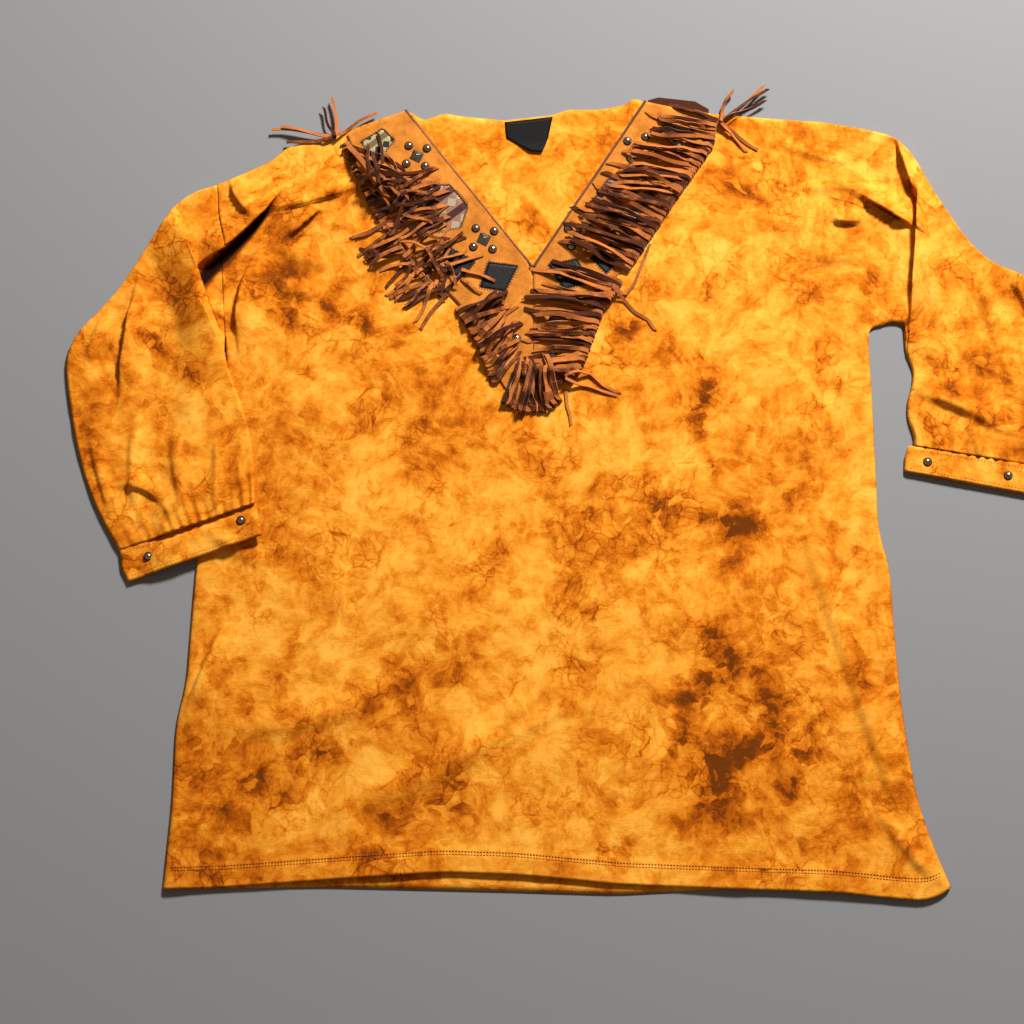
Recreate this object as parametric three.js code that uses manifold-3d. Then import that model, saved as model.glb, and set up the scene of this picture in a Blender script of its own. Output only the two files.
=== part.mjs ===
// A fringed tunic, laid flat on its back: cotton jersey with a suede yoke round a V neck.
// Units are millimetres. +X is the right of the picture, +Y runs from hem to neck, +Z is up.
// The origin is on the floor, under the middle of the garment's box.
import * as THREE from "three";
import { mergeVertices } from "three/addons/utils/BufferGeometryUtils.js";
import Module from "manifold-3d";

const wasm = await Module();
wasm.setup();

// Driving dimensions
const JERSEY = 1.2; // wall of the knitted cloth
const SUEDE = 1.4; // wall of the yoke
const INLAY = 1.0; // wall of what fills the yoke's windows
const EDGE_WALL = 2; // wall at a sleeve's folded edges
const GAP = 0.3; // between pieces that are sewn or laid together
const FRONT_Z = JERSEY + GAP; // underside of the front panel where it lies flat
const YOKE_Z = FRONT_Z + JERSEY + GAP; // underside of what lies on the front panel
const SLEEVE_HEIGHT = 2 * JERSEY + GAP; // two layers of a flat sleeve
const NECK_LEFT = [-165, 387]; // where the neckline meets the left shoulder
const NECK_POINT = [-33, 217]; // the point of the V
const NECK_RIGHT = [84, 397];
const FRONT_COLUMNS = 28;
const FRONT_ROWS = 26;
const COLUMN_CROWDING = 0.6; // above 0 puts more columns near the sides
const ROW_CROWDING = 1.35; // above 1 puts more rows near the shoulders
const SPOT_RADIUS = 4;
const SPOT_HEIGHT = 2.7;
const PYRAMID_SIDE = 12;
const PYRAMID_HEIGHT = 4;
const PYRAMID_TURN = 0.35; // radians from a corner that points along X
const STRAND_WIDTH = 4.0;
const STRAND_THICK = 1.1;
const STRAND_PITCH = 5.2;
const LAYER_STEP = 1.6; // height between strands that cross
const MOST_LAYERS = 14;
const STRIP_WIDTH = 5;
const STRIP_HEIGHT = 3;
const KNOT = [8, 6]; // size of a shoulder bunch's knot in plan

// Outline of the body: x of each side edge at heights y. The armhole seams are the straight top spans.
const LEFT_SIDE = [
  { y: -406, x: -390 },
  { y: -325, x: -384 },
  { y: -249, x: -383 },
  { y: -208, x: -374 },
  { y: -121, x: -370 },
  { y: -86, x: -368 },
  { y: -27, x: -359 },
  { y: 55, x: -344 },
  { y: 143, x: -345 },
  { y: 306, x: -358 },
];
const RIGHT_SIDE = [
  { y: -404, x: 367 },
  { y: -364, x: 351 },
  { y: -321, x: 338 },
  { y: -278, x: 332 },
  { y: -224, x: 326 },
  { y: -147, x: 322 },
  { y: -98, x: 321 },
  { y: -58, x: 311 },
  { y: 68, x: 310 },
  { y: 154, x: 308 },
  { y: 366, x: 313 },
];
const FRONT_HEM = [
  { x: -390, y: -406 },
  { x: -327, y: -404 },
  { x: -201, y: -395 },
  { x: -123, y: -390 },
  { x: -54, y: -392 },
  { x: 55, y: -402 },
  { x: 165, y: -406 },
  { x: 258, y: -409 },
  { x: 314, y: -415 },
  { x: 348, y: -417 },
  { x: 367, y: -404 },
];
const BACK_HEM = [
  { x: -390, y: -406 },
  { x: -233, y: -404 },
  { x: -54, y: -408 },
  { x: 45, y: -411 },
  { x: 165, y: -405 },
  { x: 314, y: -411 },
  { x: 348, y: -413 },
  { x: 367, y: -404 },
];
const LEFT_SHOULDER = [
  { x: -358, y: 306 },
  { x: -331, y: 318 },
  { x: -305, y: 331 },
  { x: -288, y: 346 },
  { x: -227, y: 364 },
  { x: -188, y: 379 },
  { x: -165, y: 387 },
];
const RIGHT_SHOULDER = [
  { x: 84, y: 397 },
  { x: 99, y: 392 },
  { x: 137, y: 388 },
  { x: 151, y: 383.5 },
  { x: 225, y: 377 },
  { x: 269, y: 374 },
  { x: 313, y: 366 },
];
const BACK_NECK = [
  { x: -147, y: 376 },
  { x: -126, y: 384 },
  { x: -104, y: 380 },
  { x: -63, y: 376 },
  { x: -12, y: 382 },
  { x: 4, y: 388 },
  { x: 37, y: 388 },
  { x: 64, y: 393 },
  { x: 73, y: 401 },
];

const STEEPEST = 2.2; // most that a slope thickens a wall, seen from above
const FOLD_STEPS = 12; // straight spans that stand for a fold's curve
const FOLD_TAPER = 0.3; // share of a fold's length over which each end dies away
const FOLD_END = 0.25; // share of its height that is left at the ends
// Folds that stand up from the cloth. Each runs from a through b to c, height tall, and falls away
// over so many mm to its right and to its left, seen from a towards c.
const FOLDS = [
  { on: "both", a: [-290, 304], b: [-331, 260], c: [-381, 221], height: 16, right: 34, left: 13 },
  { on: "sleeve", a: [-405, 281], b: [-378, 208], c: [-343, 120], height: 11, right: 42, left: 9 },
  { on: "sleeve", a: [-439, 192], b: [-441, 139], c: [-451, 82], height: 7, right: 9, left: 30 },
  { on: "sleeve", a: [-449, -13], b: [-419, -10], c: [-403, -32], height: 5, right: 9, left: 20 },
  { on: "body", a: [-345, 309], b: [-336, 286], c: [-327, 273], height: 6, right: 8, left: 18 },
  { on: "body", a: [-332, 137], b: [-335, 184], c: [-315, 233], height: 9, right: 26, left: 8 },
  { on: "body", a: [-251, 281], b: [-267, 270], c: [-289, 247], height: 6, right: 22, left: 10 },
  { on: "body", a: [-289, 285], b: [-268, 290], c: [-241, 297], height: 5, right: 10, left: 24 },
  { on: "both", a: [301, 295], b: [332, 284], c: [360, 258], height: 9, right: 9, left: 26 },
  { on: "body", a: [270, 267], b: [290, 266], c: [308, 266], height: 4, right: 8, left: 18 },
  { on: "sleeve", a: [345, 356], b: [356, 321], c: [366, 284], height: 9, right: 10, left: 14 },
  { on: "sleeve", a: [366, 314], b: [366, 256], c: [350, 149], height: 10, right: 9, left: 42 },
  { on: "sleeve", a: [358, 84], b: [398, 71], c: [439, 45], height: 6, right: 14, left: 30 },
  { on: "sleeve", a: [455, 202], b: [467, 185], c: [474, 160], height: 5, right: 10, left: 16 },
  { on: "body", a: [228, -30], b: [272, -180], c: [336, -384], height: 4, right: 9, left: 26 },
  { on: "body", a: [-338, -150], b: [-354, -190], c: [-372, -236], height: 5, right: 9, left: 24 },
  { on: "body", a: [-330, -250], b: [-260, -262], c: [-170, -214], height: 3, right: 16, left: 26 },
  { on: "body", a: [-210, -330], b: [-130, -306], c: [-60, -250], height: 3, right: 16, left: 28 },
];

// Sections of each sleeve, from the armhole seam to the cuff seam. The inner point is on the underarm
// side, and rides says how far the section has climbed on to the body, from 0 to 1.
const LEFT_SLEEVE = [
  { inner: [-345.9, 143], outer: [-358.5, 305.6], rides: 0 },
  { inner: [-346.5, 140], outer: [-373, 301], rides: 0 },
  { inner: [-347, 136], outer: [-389, 297], rides: 0.1 },
  { inner: [-347, 131], outer: [-404, 288], rides: 0.3 },
  { inner: [-347, 126], outer: [-412, 270], rides: 0.6 },
  { inner: [-346.5, 121], outer: [-421, 252], rides: 0.9 },
  { inner: [-344, 115], outer: [-437, 228], rides: 1 },
  { inner: [-341, 105], outer: [-460, 186], rides: 1 },
  { inner: [-337, 96], outer: [-491, 156], rides: 1 },
  { inner: [-332, 84], outer: [-509, 132], rides: 1 },
  { inner: [-326, 68], outer: [-506, 100], rides: 1 },
  { inner: [-320, 48], outer: [-500, 64], rides: 1 },
  { inner: [-315, 24], outer: [-489, 14], rides: 1 },
  { inner: [-311, -4], outer: [-471, -34], rides: 1 },
  { inner: [-310, -31], outer: [-445, -78], rides: 1 },
];
const RIGHT_SLEEVE = [
  { inner: [308.4, 154], outer: [313.4, 365.6], rides: 0 },
  { inner: [328, 157], outer: [333, 362], rides: 0 },
  { inner: [343, 158], outer: [350, 356], rides: 0 },
  { inner: [345, 156], outer: [361, 344], rides: 0 },
  { inner: [345, 150], outer: [372, 316], rides: 0 },
  { inner: [345, 140], outer: [397, 273], rides: 0 },
  { inner: [345, 128], outer: [424, 230], rides: 0 },
  { inner: [346, 114], outer: [454, 213], rides: 0 },
  { inner: [347, 98], outer: [484, 204], rides: 0 },
  { inner: [348, 84], outer: [504, 188], rides: 0 },
  { inner: [347, 68], outer: [509, 158], rides: 0 },
  { inner: [345, 54], outer: [507, 112], rides: 0 },
  { inner: [344, 41], outer: [501, 56], rides: 0 },
  { inner: [344, 28], outer: [490, 4], rides: 0 },
];
const LEFT_CUFF = [
  { inner: [-309.6, -31.8], outer: [-444.6, -79], rides: 1 },
  { inner: [-305, -48], outer: [-442, -96], rides: 1 },
  { inner: [-302, -63], outer: [-435, -109], rides: 1 },
];
const RIGHT_CUFF = [
  { inner: [343.4, 27.3], outer: [489.4, 3.3], rides: 0 },
  { inner: [340, 17], outer: [487, -9], rides: 0 },
  { inner: [339, 3], outer: [486, -25], rides: 0 },
];
const RING_SHARES = [0, 0.03, 0.12, 0.24, 0.36, 0.48, 0.6, 0.72, 0.84, 0.97, 1];
const CLIMB_END = -30; // a sleeve is up on the body this far outside the body's edge
const CLIMB_START = -56;

// Sections across each half of the yoke, from the shoulder down to the tip.
const RIGHT_YOKE = [
  { inner: [84, 395.6], outer: [151, 381] },
  { inner: [62, 362], outer: [147, 350] },
  { inner: [40, 329], outer: [128, 322] },
  { inner: [18, 295], outer: [106, 290] },
  { inner: [-4, 261], outer: [84, 255] },
  { inner: [-32.8, 217], outer: [56, 211] },
  { inner: [-32.8, 204], outer: [44, 190] },
  { inner: [-32.8, 178], outer: [31, 171] },
  { inner: [-32.8, 150], outer: [20, 141] },
  { inner: [-32.8, 120], outer: [10, 115] },
  { inner: [-32.8, 94], outer: [-8, 86] },
  { inner: [-32.8, 75], outer: [-22, 72] },
];
const LEFT_YOKE = [
  { inner: [-165, 385.6], outer: [-226, 359] },
  { inner: [-143, 358], outer: [-211, 322] },
  { inner: [-120, 329], outer: [-194, 284] },
  { inner: [-97, 299], outer: [-172, 247] },
  { inner: [-74, 270], outer: [-148, 214] },
  { inner: [-33.2, 217], outer: [-118, 186] },
  { inner: [-33.2, 204], outer: [-106, 175] },
  { inner: [-33.2, 178], outer: [-93, 155] },
  { inner: [-33.2, 150], outer: [-83, 138] },
  { inner: [-33.2, 120], outer: [-75, 116] },
  { inner: [-33.2, 94], outer: [-62, 84] },
  { inner: [-33.2, 75], outer: [-46, 72] },
];

// Windows in each half of the yoke. Points are [mm down the neck edge, mm out from it].
const WINDOWS = [
  { name: "light_woven", points: [[2, 32], [20, 30], [28, 58], [0, 60]] },
  { name: "brown_woven", points: [[80, 34], [94, 14], [124, 14], [138, 34], [124, 62], [94, 62]] },
  { name: "dark_side", points: [[142, 58], [176, 44], [182, 68], [156, 72]] },
  { name: "dark_neck", points: [[184, 34], [206, 12], [220, 40], [200, 58]] },
];
// Studs on each half, in the same measure.
const ARM_SPOTS = [
  [34, 22],
  [62, 22],
  [48, 9],
  [48, 36],
  [148, 22],
  [176, 22],
  [162, 9],
  [162, 36],
];
const ARM_PYRAMIDS = [
  [48, 22.5],
  [162, 22.5],
];
const CENTRE_SPOTS = [
  [-50, 140],
  [-14, 122],
  [-47, 102],
];
const CENTRE_PYRAMID = [-12, 158];
const CUFF_SNAPS = [
  { cuff: "left", at: [-415, -84] },
  { cuff: "left", at: [-323, -49] },
  { cuff: "right", at: [362, 12] },
  { cuff: "right", at: [442, -2] },
];
const LABEL = [[-62, 374], [-60, 357], [-44, 347], [-36, 342], [-23, 341], [-17, 356], [-12, 380]];

// Fringe strips. The edge is followed from its first point, and the strip lies beside it, off the
// yoke. Rows of lie say which way the strands point (degrees from +X) and how long they are, at
// shares of the way along. Up to the share outUntil, every out-th strand is turned the other way.
const FRINGES = [
  {
    name: "fringe_right_arm",
    edge: [[151, 378], [147, 350], [128, 322], [106, 290], [84, 255], [58, 214]],
    lie: [
      { at: 0, heading: 168, length: 60 },
      { at: 0.3, heading: 172, length: 70 },
      { at: 0.6, heading: 158, length: 78 },
      { at: 1, heading: 150, length: 80 },
    ],
    scatter: 13,
  },
  {
    name: "fringe_right_low",
    edge: [[52, 203], [44, 190], [31, 171], [20, 141], [10, 115], [-1.5, 96]],
    lie: [
      { at: 0, heading: 170, length: 76 },
      { at: 0.5, heading: 172, length: 62 },
      { at: 1, heading: 196, length: 40 },
    ],
    scatter: 10,
  },
  {
    name: "fringe_tip",
    edge: [[-10, 82], [-22, 71], [-46, 71], [-60, 80]],
    lie: [
      { at: 0, heading: 104, length: 40 },
      { at: 0.5, heading: 92, length: 48 },
      { at: 1, heading: 76, length: 40 },
    ],
    scatter: 8,
  },
  {
    name: "fringe_left_low",
    edge: [[-67, 95], [-75, 116], [-83, 138], [-93, 155], [-106, 175]],
    lie: [
      { at: 0, heading: 52, length: 36 },
      { at: 0.5, heading: 44, length: 40 },
      { at: 1, heading: 24, length: 44 },
    ],
    scatter: 14,
  },
  {
    name: "fringe_left_arm",
    edge: [[-118, 186], [-148, 214], [-172, 247], [-194, 284], [-211, 322], [-224, 352]],
    lie: [
      { at: 0, heading: 56, length: 44 },
      { at: 0.3, heading: 40, length: 62 },
      { at: 0.6, heading: 10, length: 64 },
      { at: 1, heading: -36, length: 78 },
    ],
    scatter: 20,
    out: 2,
    outUntil: 0.68,
    turn: 168,
    outLength: 42,
  },
];

// A bunch of loose strands knotted at each shoulder end of the yoke.
const BUNCHES = [
  {
    name: "fringe_right_shoulder",
    at: [162, 371],
    strands: [
      { heading: 44, length: 62 },
      { heading: 36, length: 64 },
      { heading: 29, length: 54 },
      { heading: -36, length: 48 },
      { heading: -50, length: 40 },
      { heading: 66, length: 40 },
    ],
  },
  {
    name: "fringe_left_shoulder",
    at: [-237, 356],
    strands: [
      { heading: 175, length: 68 },
      { heading: 168, length: 58 },
      { heading: 184, length: 52 },
      { heading: 100, length: 44 },
      { heading: 112, length: 36 },
      { heading: 32, length: 50 },
    ],
  },
];
// Along a strand: its share of the length, how much of the climb to its layer, and of its bend.
const STRAND_SECTIONS = [
  { share: 0, climb: 0, bend: 0 },
  { share: 0.17, climb: 1, bend: 0.5 },
  { share: 0.6, climb: 1, bend: 1 },
  { share: 1, climb: 0.85, bend: 0.1 },
];
const STRAND_BEND = 4; // most that a strand bows to one side
// The dark band's turn to the back, which shows past the right shoulder, from low to high.
const BACK_ROLL = [
  { x: 88, low: 396.2, high: 399 },
  { x: 99, low: 392.5, high: 402 },
  { x: 137, low: 388.5, high: 397.5 },
  { x: 151, low: 384.1, high: 389 },
];

const lerp = (a, b, t) => a + (b - a) * t;
const lerpPoint = (p, q, t) => p.map((v, i) => lerp(v, q[i], t));
const clamp = (t) => Math.min(1, Math.max(0, t));
const smooth = (t) => clamp(t) ** 2 * (3 - 2 * clamp(t));
const distance = (p, q) => Math.hypot(p[0] - q[0], p[1] - q[1]);

// A number from 0 to 1 that looks random and is the same each time.
function scatterOf(index, kind) {
  const wave = Math.sin(index * 12.9898 + kind * 78.233) * 43758.5453;
  return wave - Math.floor(wave);
}

// Reads one column of a table between its rows, by the value of another column.
function readTable(table, key, value, at) {
  const last = table.length - 1;
  let row = table.findIndex((r) => r[key] > at) - 1;
  if (row < 0) row = at < table[0][key] ? 0 : last - 1;
  const [p, q] = [table[row], table[row + 1]];
  return lerp(p[value], q[value], clamp((at - p[key]) / (q[key] - p[key])));
}

const leftEdge = (y) => readTable(LEFT_SIDE, "y", "x", y);
const rightEdge = (y) => readTable(RIGHT_SIDE, "y", "x", y);

// Height that the folds add at a point of the plan.
function foldHeight(fold, x, y) {
  let best = { away: Infinity };
  let before = fold.a;
  for (let i = 1; i <= FOLD_STEPS; i++) {
    const t = i / FOLD_STEPS;
    const after = lerpPoint(lerpPoint(fold.a, fold.b, t), lerpPoint(fold.b, fold.c, t), t);
    const run = [after[0] - before[0], after[1] - before[1]];
    const from = [x - before[0], y - before[1]];
    const share = clamp((from[0] * run[0] + from[1] * run[1]) / (run[0] ** 2 + run[1] ** 2));
    const away = Math.hypot(from[0] - share * run[0], from[1] - share * run[1]);
    if (away < best.away) {
      const onRight = from[0] * run[1] - from[1] * run[0] > 0;
      best = { away, onRight, along: (i - 1 + share) / FOLD_STEPS };
    }
    before = after;
  }
  const reach = best.onRight ? fold.right : fold.left;
  const taper = smooth(best.along / FOLD_TAPER) * smooth((1 - best.along) / FOLD_TAPER);
  return fold.height * lerp(FOLD_END, 1, taper) * (1 - smooth(best.away / reach));
}

function relief(where, x, y) {
  let height = 0;
  for (const fold of FOLDS) {
    if (fold.on === where || fold.on === "both") height += foldHeight(fold, x, y);
  }
  return height;
}

// How much thicker a wall is when measured straight down through a sloping fold.
function slopeFactor(where, x, y) {
  const step = 1;
  const here = relief(where, x, y);
  const along = (relief(where, x + step, y) - here) / step;
  const up = (relief(where, x, y + step) - here) / step;
  return Math.min(STEEPEST, Math.hypot(1, along, up));
}

// A closed shape from points and triangles, turned so that its faces point out.
function geometryOf(points, faces) {
  const volume = faces.reduce((sum, [a, b, c]) => {
    const [p, q, r] = [points[a], points[b], points[c]].map((v) => new THREE.Vector3(...v));
    return sum + p.dot(q.cross(r));
  }, 0);
  const turned = volume < 0 ? faces.map(([a, b, c]) => [a, c, b]) : faces;
  const geometry = new THREE.BufferGeometry();
  geometry.setAttribute("position", new THREE.Float32BufferAttribute(points.flat(), 3));
  geometry.setIndex(turned.flat());
  return geometry;
}

// A wall between two grids of points, top[row][column] and bottom[row][column].
function wallBetween(top, bottom) {
  const rows = top.length;
  const columns = top[0].length;
  const points = [...top.flat(), ...bottom.flat()];
  const faces = [];
  const under = rows * columns;
  const at = (r, c) => r * columns + c;
  const quad = (a, b, c, d) => faces.push([a, b, c], [a, c, d]);
  for (let r = 0; r < rows - 1; r++) {
    for (let c = 0; c < columns - 1; c++) {
      quad(at(r, c), at(r, c + 1), at(r + 1, c + 1), at(r + 1, c));
      quad(under + at(r, c), under + at(r + 1, c), under + at(r + 1, c + 1), under + at(r, c + 1));
    }
  }
  const rim = [];
  for (let c = 0; c < columns - 1; c++) rim.push(at(0, c));
  for (let r = 0; r < rows - 1; r++) rim.push(at(r, columns - 1));
  for (let c = columns - 1; c > 0; c--) rim.push(at(rows - 1, c));
  for (let r = rows - 1; r > 0; r--) rim.push(at(r, 0));
  rim.forEach((p, i) => {
    const q = rim[(i + 1) % rim.length];
    quad(p, under + p, under + q, q);
  });
  return geometryOf(points, faces);
}

function solidOf(geometry) {
  const bare = geometry.clone();
  bare.deleteAttribute("normal");
  bare.deleteAttribute("uv");
  const merged = mergeVertices(bare, 1e-3);
  return new wasm.Manifold(
    new wasm.Mesh({
      numProp: 3,
      vertProperties: merged.attributes.position.array,
      triVerts: new Uint32Array(merged.index.array),
    }),
  );
}

function geometryOfSolid(solid) {
  const mesh = solid.getMesh();
  const geometry = new THREE.BufferGeometry();
  geometry.setAttribute("position", new THREE.BufferAttribute(mesh.vertProperties, 3));
  geometry.setIndex(new THREE.BufferAttribute(mesh.triVerts, 1));
  return geometry;
}

// A flat plate with this outline, from one height to another.
function plate(outline, low, high) {
  const shape = new THREE.Shape(outline.map(([x, y]) => new THREE.Vector2(x, y)));
  const geometry = new THREE.ExtrudeGeometry(shape, { depth: high - low, bevelEnabled: false });
  return geometry.translate(0, 0, low);
}

const pairs = (table) => table.map((row) => [row.x, row.y]);

// Body panels
function columnShare(column) {
  const turn = (2 * Math.PI * column) / FRONT_COLUMNS;
  return column / FRONT_COLUMNS - (COLUMN_CROWDING * Math.sin(turn)) / (2 * Math.PI);
}

function frontPanel() {
  const top = [];
  const bottom = [];
  const shoulder = [...LEFT_SHOULDER, ...RIGHT_SHOULDER];
  const ends = (table) => [table[0].x, table[table.length - 1].x];
  const [hemLeft, hemRight] = ends(FRONT_HEM);
  const [topLeft, topRight] = ends(shoulder);
  for (let r = 0; r <= FRONT_ROWS; r++) {
    const v = 1 - (1 - r / FRONT_ROWS) ** ROW_CROWDING;
    const heightAt = (u) => {
      const low = readTable(FRONT_HEM, "x", "y", lerp(hemLeft, hemRight, u));
      const high = readTable(shoulder, "x", "y", lerp(topLeft, topRight, u));
      return lerp(low, high, v);
    };
    const left = leftEdge(heightAt(0));
    const right = rightEdge(heightAt(1));
    const upper = [];
    const lower = [];
    for (let c = 0; c <= FRONT_COLUMNS; c++) {
      const u = columnShare(c);
      const [x, y] = [lerp(left, right, u), heightAt(u)];
      const z = FRONT_Z + JERSEY + relief("body", x, y);
      upper.push([x, y, z]);
      lower.push([x, y, Math.max(FRONT_Z, z - JERSEY * slopeFactor("body", x, y))]);
    }
    top.push(upper);
    bottom.push(lower);
  }
  const [left, right, above] = [NECK_LEFT, NECK_RIGHT, 40];
  const notch = [left, NECK_POINT, right, [right[0], right[1] + above], [left[0], left[1] + above]];
  const cut = solidOf(plate(notch, -1, above));
  return geometryOfSolid(solidOf(wallBetween(top, bottom)).subtract(cut));
}

function backPanel() {
  const outline = [
    ...pairs(BACK_HEM),
    ...pairs(RIGHT_SIDE).slice(1),
    ...pairs(RIGHT_SHOULDER).reverse().slice(1),
    ...pairs(BACK_NECK).reverse(),
    ...pairs(LEFT_SHOULDER).reverse(),
    ...pairs(LEFT_SIDE).reverse().slice(1, -1),
  ];
  return plate(outline, 0, JERSEY);
}

// Underside of a sleeve: on the floor, or on the front panel where it has climbed on to the body.
function sleeveUnderside(section, x, y) {
  const inside = x - leftEdge(y);
  const onBody = section.rides * smooth((inside - CLIMB_START) / (CLIMB_END - CLIMB_START));
  return onBody * (YOKE_Z + relief("body", x, y));
}

// A flattened tube through its sections, open at both ends.
function flatTube(sections) {
  const outside = [];
  const inside = [];
  for (const section of sections) {
    const width = distance(section.inner, section.outer);
    const skin = { top: [], low: [] };
    const hollow = { top: [], low: [] };
    const last = RING_SHARES.length - 1;
    RING_SHARES.forEach((share, i) => {
      const [x, y] = lerpPoint(section.inner, section.outer, share);
      const low = sleeveUnderside(section, x, y);
      const high = low + SLEEVE_HEIGHT + relief("sleeve", x, y);
      const middle = low + SLEEVE_HEIGHT / 2;
      if (i === 0 || i === last) {
        const inset = i === 0 ? EDGE_WALL / width : 1 - EDGE_WALL / width;
        const [ix, iy] = lerpPoint(section.inner, section.outer, inset);
        skin.top.push([x, y, middle + SLEEVE_HEIGHT / 4]);
        skin.low.unshift([x, y, middle - SLEEVE_HEIGHT / 4]);
        hollow.top.push([ix, iy, middle + GAP / 4]);
        hollow.low.unshift([ix, iy, middle - GAP / 4]);
      } else {
        const wall = JERSEY * slopeFactor("sleeve", x, y);
        skin.top.push([x, y, high]);
        skin.low.unshift([x, y, low]);
        hollow.top.push([x, y, Math.max(low + JERSEY + GAP, high - wall)]);
        hollow.low.unshift([x, y, low + JERSEY]);
      }
    });
    outside.push([...skin.top, ...skin.low]);
    inside.push([...hollow.top, ...hollow.low]);
  }
  const count = outside[0].length;
  const inner = outside.length * count;
  const points = [...outside.flat(), ...inside.flat()];
  const faces = [];
  const quad = (a, b, c, d) => faces.push([a, b, c], [a, c, d]);
  for (let i = 0; i < count; i++) {
    const j = (i + 1) % count;
    for (let s = 0; s < outside.length - 1; s++) {
      const [a, b, c, d] = [s * count + i, s * count + j, (s + 1) * count + j, (s + 1) * count + i];
      quad(a, b, c, d);
      quad(inner + a, inner + d, inner + c, inner + b);
    }
    const last = (outside.length - 1) * count;
    quad(i, inner + i, inner + j, j);
    quad(last + i, last + j, inner + last + j, inner + last + i);
  }
  return geometryOf(points, faces);
}

// Yoke
const RIGHT_ARM = { corner: NECK_RIGHT, side: 1 };
const LEFT_ARM = { corner: NECK_LEFT, side: -1 };

// A point of the plan from mm down the neck edge and mm out from it.
function onArm(arm, [down, out]) {
  const run = [NECK_POINT[0] - arm.corner[0], NECK_POINT[1] - arm.corner[1]];
  const long = Math.hypot(...run);
  const along = [run[0] / long, run[1] / long];
  const away = [-along[1] * arm.side, along[0] * arm.side];
  return [
    arm.corner[0] + along[0] * down + away[0] * out,
    arm.corner[1] + along[1] * down + away[1] * out,
  ];
}

// An outline moved inwards by a margin, for an outline with no notch.
function shrunk(outline, margin) {
  const middle = [0, 1].map((k) => outline.reduce((sum, p) => sum + p[k], 0) / outline.length);
  return outline.map((p) => lerpPoint(p, middle, margin / distance(p, middle)));
}

function yokeHalf(sections, arm) {
  const columns = 6;
  const grid = sections.map(({ inner, outer }) =>
    Array.from({ length: columns + 1 }, (_, c) => lerpPoint(inner, outer, c / columns)),
  );
  const ordered = arm.side > 0 ? grid.reverse() : grid.map((row) => row.reverse()).reverse();
  const raised = (z) => ordered.map((row) => row.map(([x, y]) => [x, y, z]));
  let solid = solidOf(wallBetween(raised(YOKE_Z + SUEDE), raised(YOKE_Z)));
  for (const window of WINDOWS) {
    const outline = window.points.map((p) => onArm(arm, p));
    solid = solid.subtract(solidOf(plate(outline, YOKE_Z - 1, YOKE_Z + SUEDE + 1)));
  }
  return geometryOfSolid(solid);
}

function inlay(window, arm) {
  const outline = window.points.map((p) => onArm(arm, p));
  return plate(shrunk(outline, 2 * GAP), YOKE_Z, YOKE_Z + INLAY);
}

// Studs
function spot(x, y, seat) {
  const profile = [
    [0, 0],
    [SPOT_RADIUS, 0],
    [SPOT_RADIUS * 0.97, SPOT_HEIGHT * 0.3],
    [SPOT_RADIUS * 0.6, SPOT_HEIGHT * 0.82],
    [0, SPOT_HEIGHT],
  ];
  const geometry = new THREE.LatheGeometry(profile.map(([r, z]) => new THREE.Vector2(r, z)), 8);
  return geometry.rotateX(Math.PI / 2).translate(x, y, seat);
}

function pyramid(x, y, seat) {
  const radius = PYRAMID_SIDE / Math.SQRT2;
  const geometry = new THREE.ConeGeometry(radius, PYRAMID_HEIGHT, 4);
  geometry.rotateX(Math.PI / 2).rotateZ(PYRAMID_TURN);
  return geometry.translate(x, y, seat + PYRAMID_HEIGHT / 2);
}

// Fringe
function lineLength(line) {
  return line.slice(1).reduce((sum, p, i) => sum + distance(p, line[i]), 0);
}

function pointAlong(line, share) {
  let left = share * lineLength(line);
  let i = 0;
  while (i < line.length - 2 && left > distance(line[i], line[i + 1])) {
    left -= distance(line[i], line[i + 1]);
    i += 1;
  }
  return lerpPoint(line[i], line[i + 1], left / distance(line[i], line[i + 1]));
}

// The same line moved off to its left, seen from its first point.
function movedOff(line, off) {
  const sides = line.slice(1).map((p, i) => {
    const long = distance(p, line[i]);
    return [(line[i][1] - p[1]) / long, (p[0] - line[i][0]) / long];
  });
  return line.map((p, i) => {
    const one = sides[Math.max(0, i - 1)];
    const two = sides[Math.min(sides.length - 1, i)];
    const sum = [one[0] + two[0], one[1] + two[1]];
    const reach = (2 * off) / (sum[0] ** 2 + sum[1] ** 2);
    return [p[0] + sum[0] * reach, p[1] + sum[1] * reach];
  });
}

function strandFrom(number, root, heading, length) {
  const turn = THREE.MathUtils.degToRad(heading);
  const way = [Math.cos(turn), Math.sin(turn)];
  const tip = [root[0] + way[0] * length, root[1] + way[1] * length];
  const bend = STRAND_BEND * (2 * scatterOf(number, 3) - 1);
  return { root, tip, way, bend };
}

// Where each strand of a strip starts, which way it points and how long it is.
function strandsOfStrip(fringe, first) {
  const roots = movedOff(fringe.edge, GAP + STRIP_WIDTH / 2);
  const count = Math.floor(lineLength(roots) / STRAND_PITCH);
  return Array.from({ length: count }, (_, i) => {
    const number = first + i;
    const share = (i + 0.5) / count;
    const out = share < (fringe.outUntil ?? 0) && i % fringe.out === 1;
    const jitter = (2 * scatterOf(number, 1) - 1) * fringe.scatter;
    const heading = readTable(fringe.lie, "at", "heading", share) + (out ? fringe.turn : 0);
    const full = out ? fringe.outLength : readTable(fringe.lie, "at", "length", share);
    const length = full * (0.82 + 0.3 * scatterOf(number, 2));
    return strandFrom(number, pointAlong(roots, share), heading + jitter, length);
  });
}

function strandsOfBunch(bunch, first) {
  return bunch.strands.map(({ heading, length }, i) =>
    strandFrom(first + i, bunch.at, heading, length),
  );
}

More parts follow.
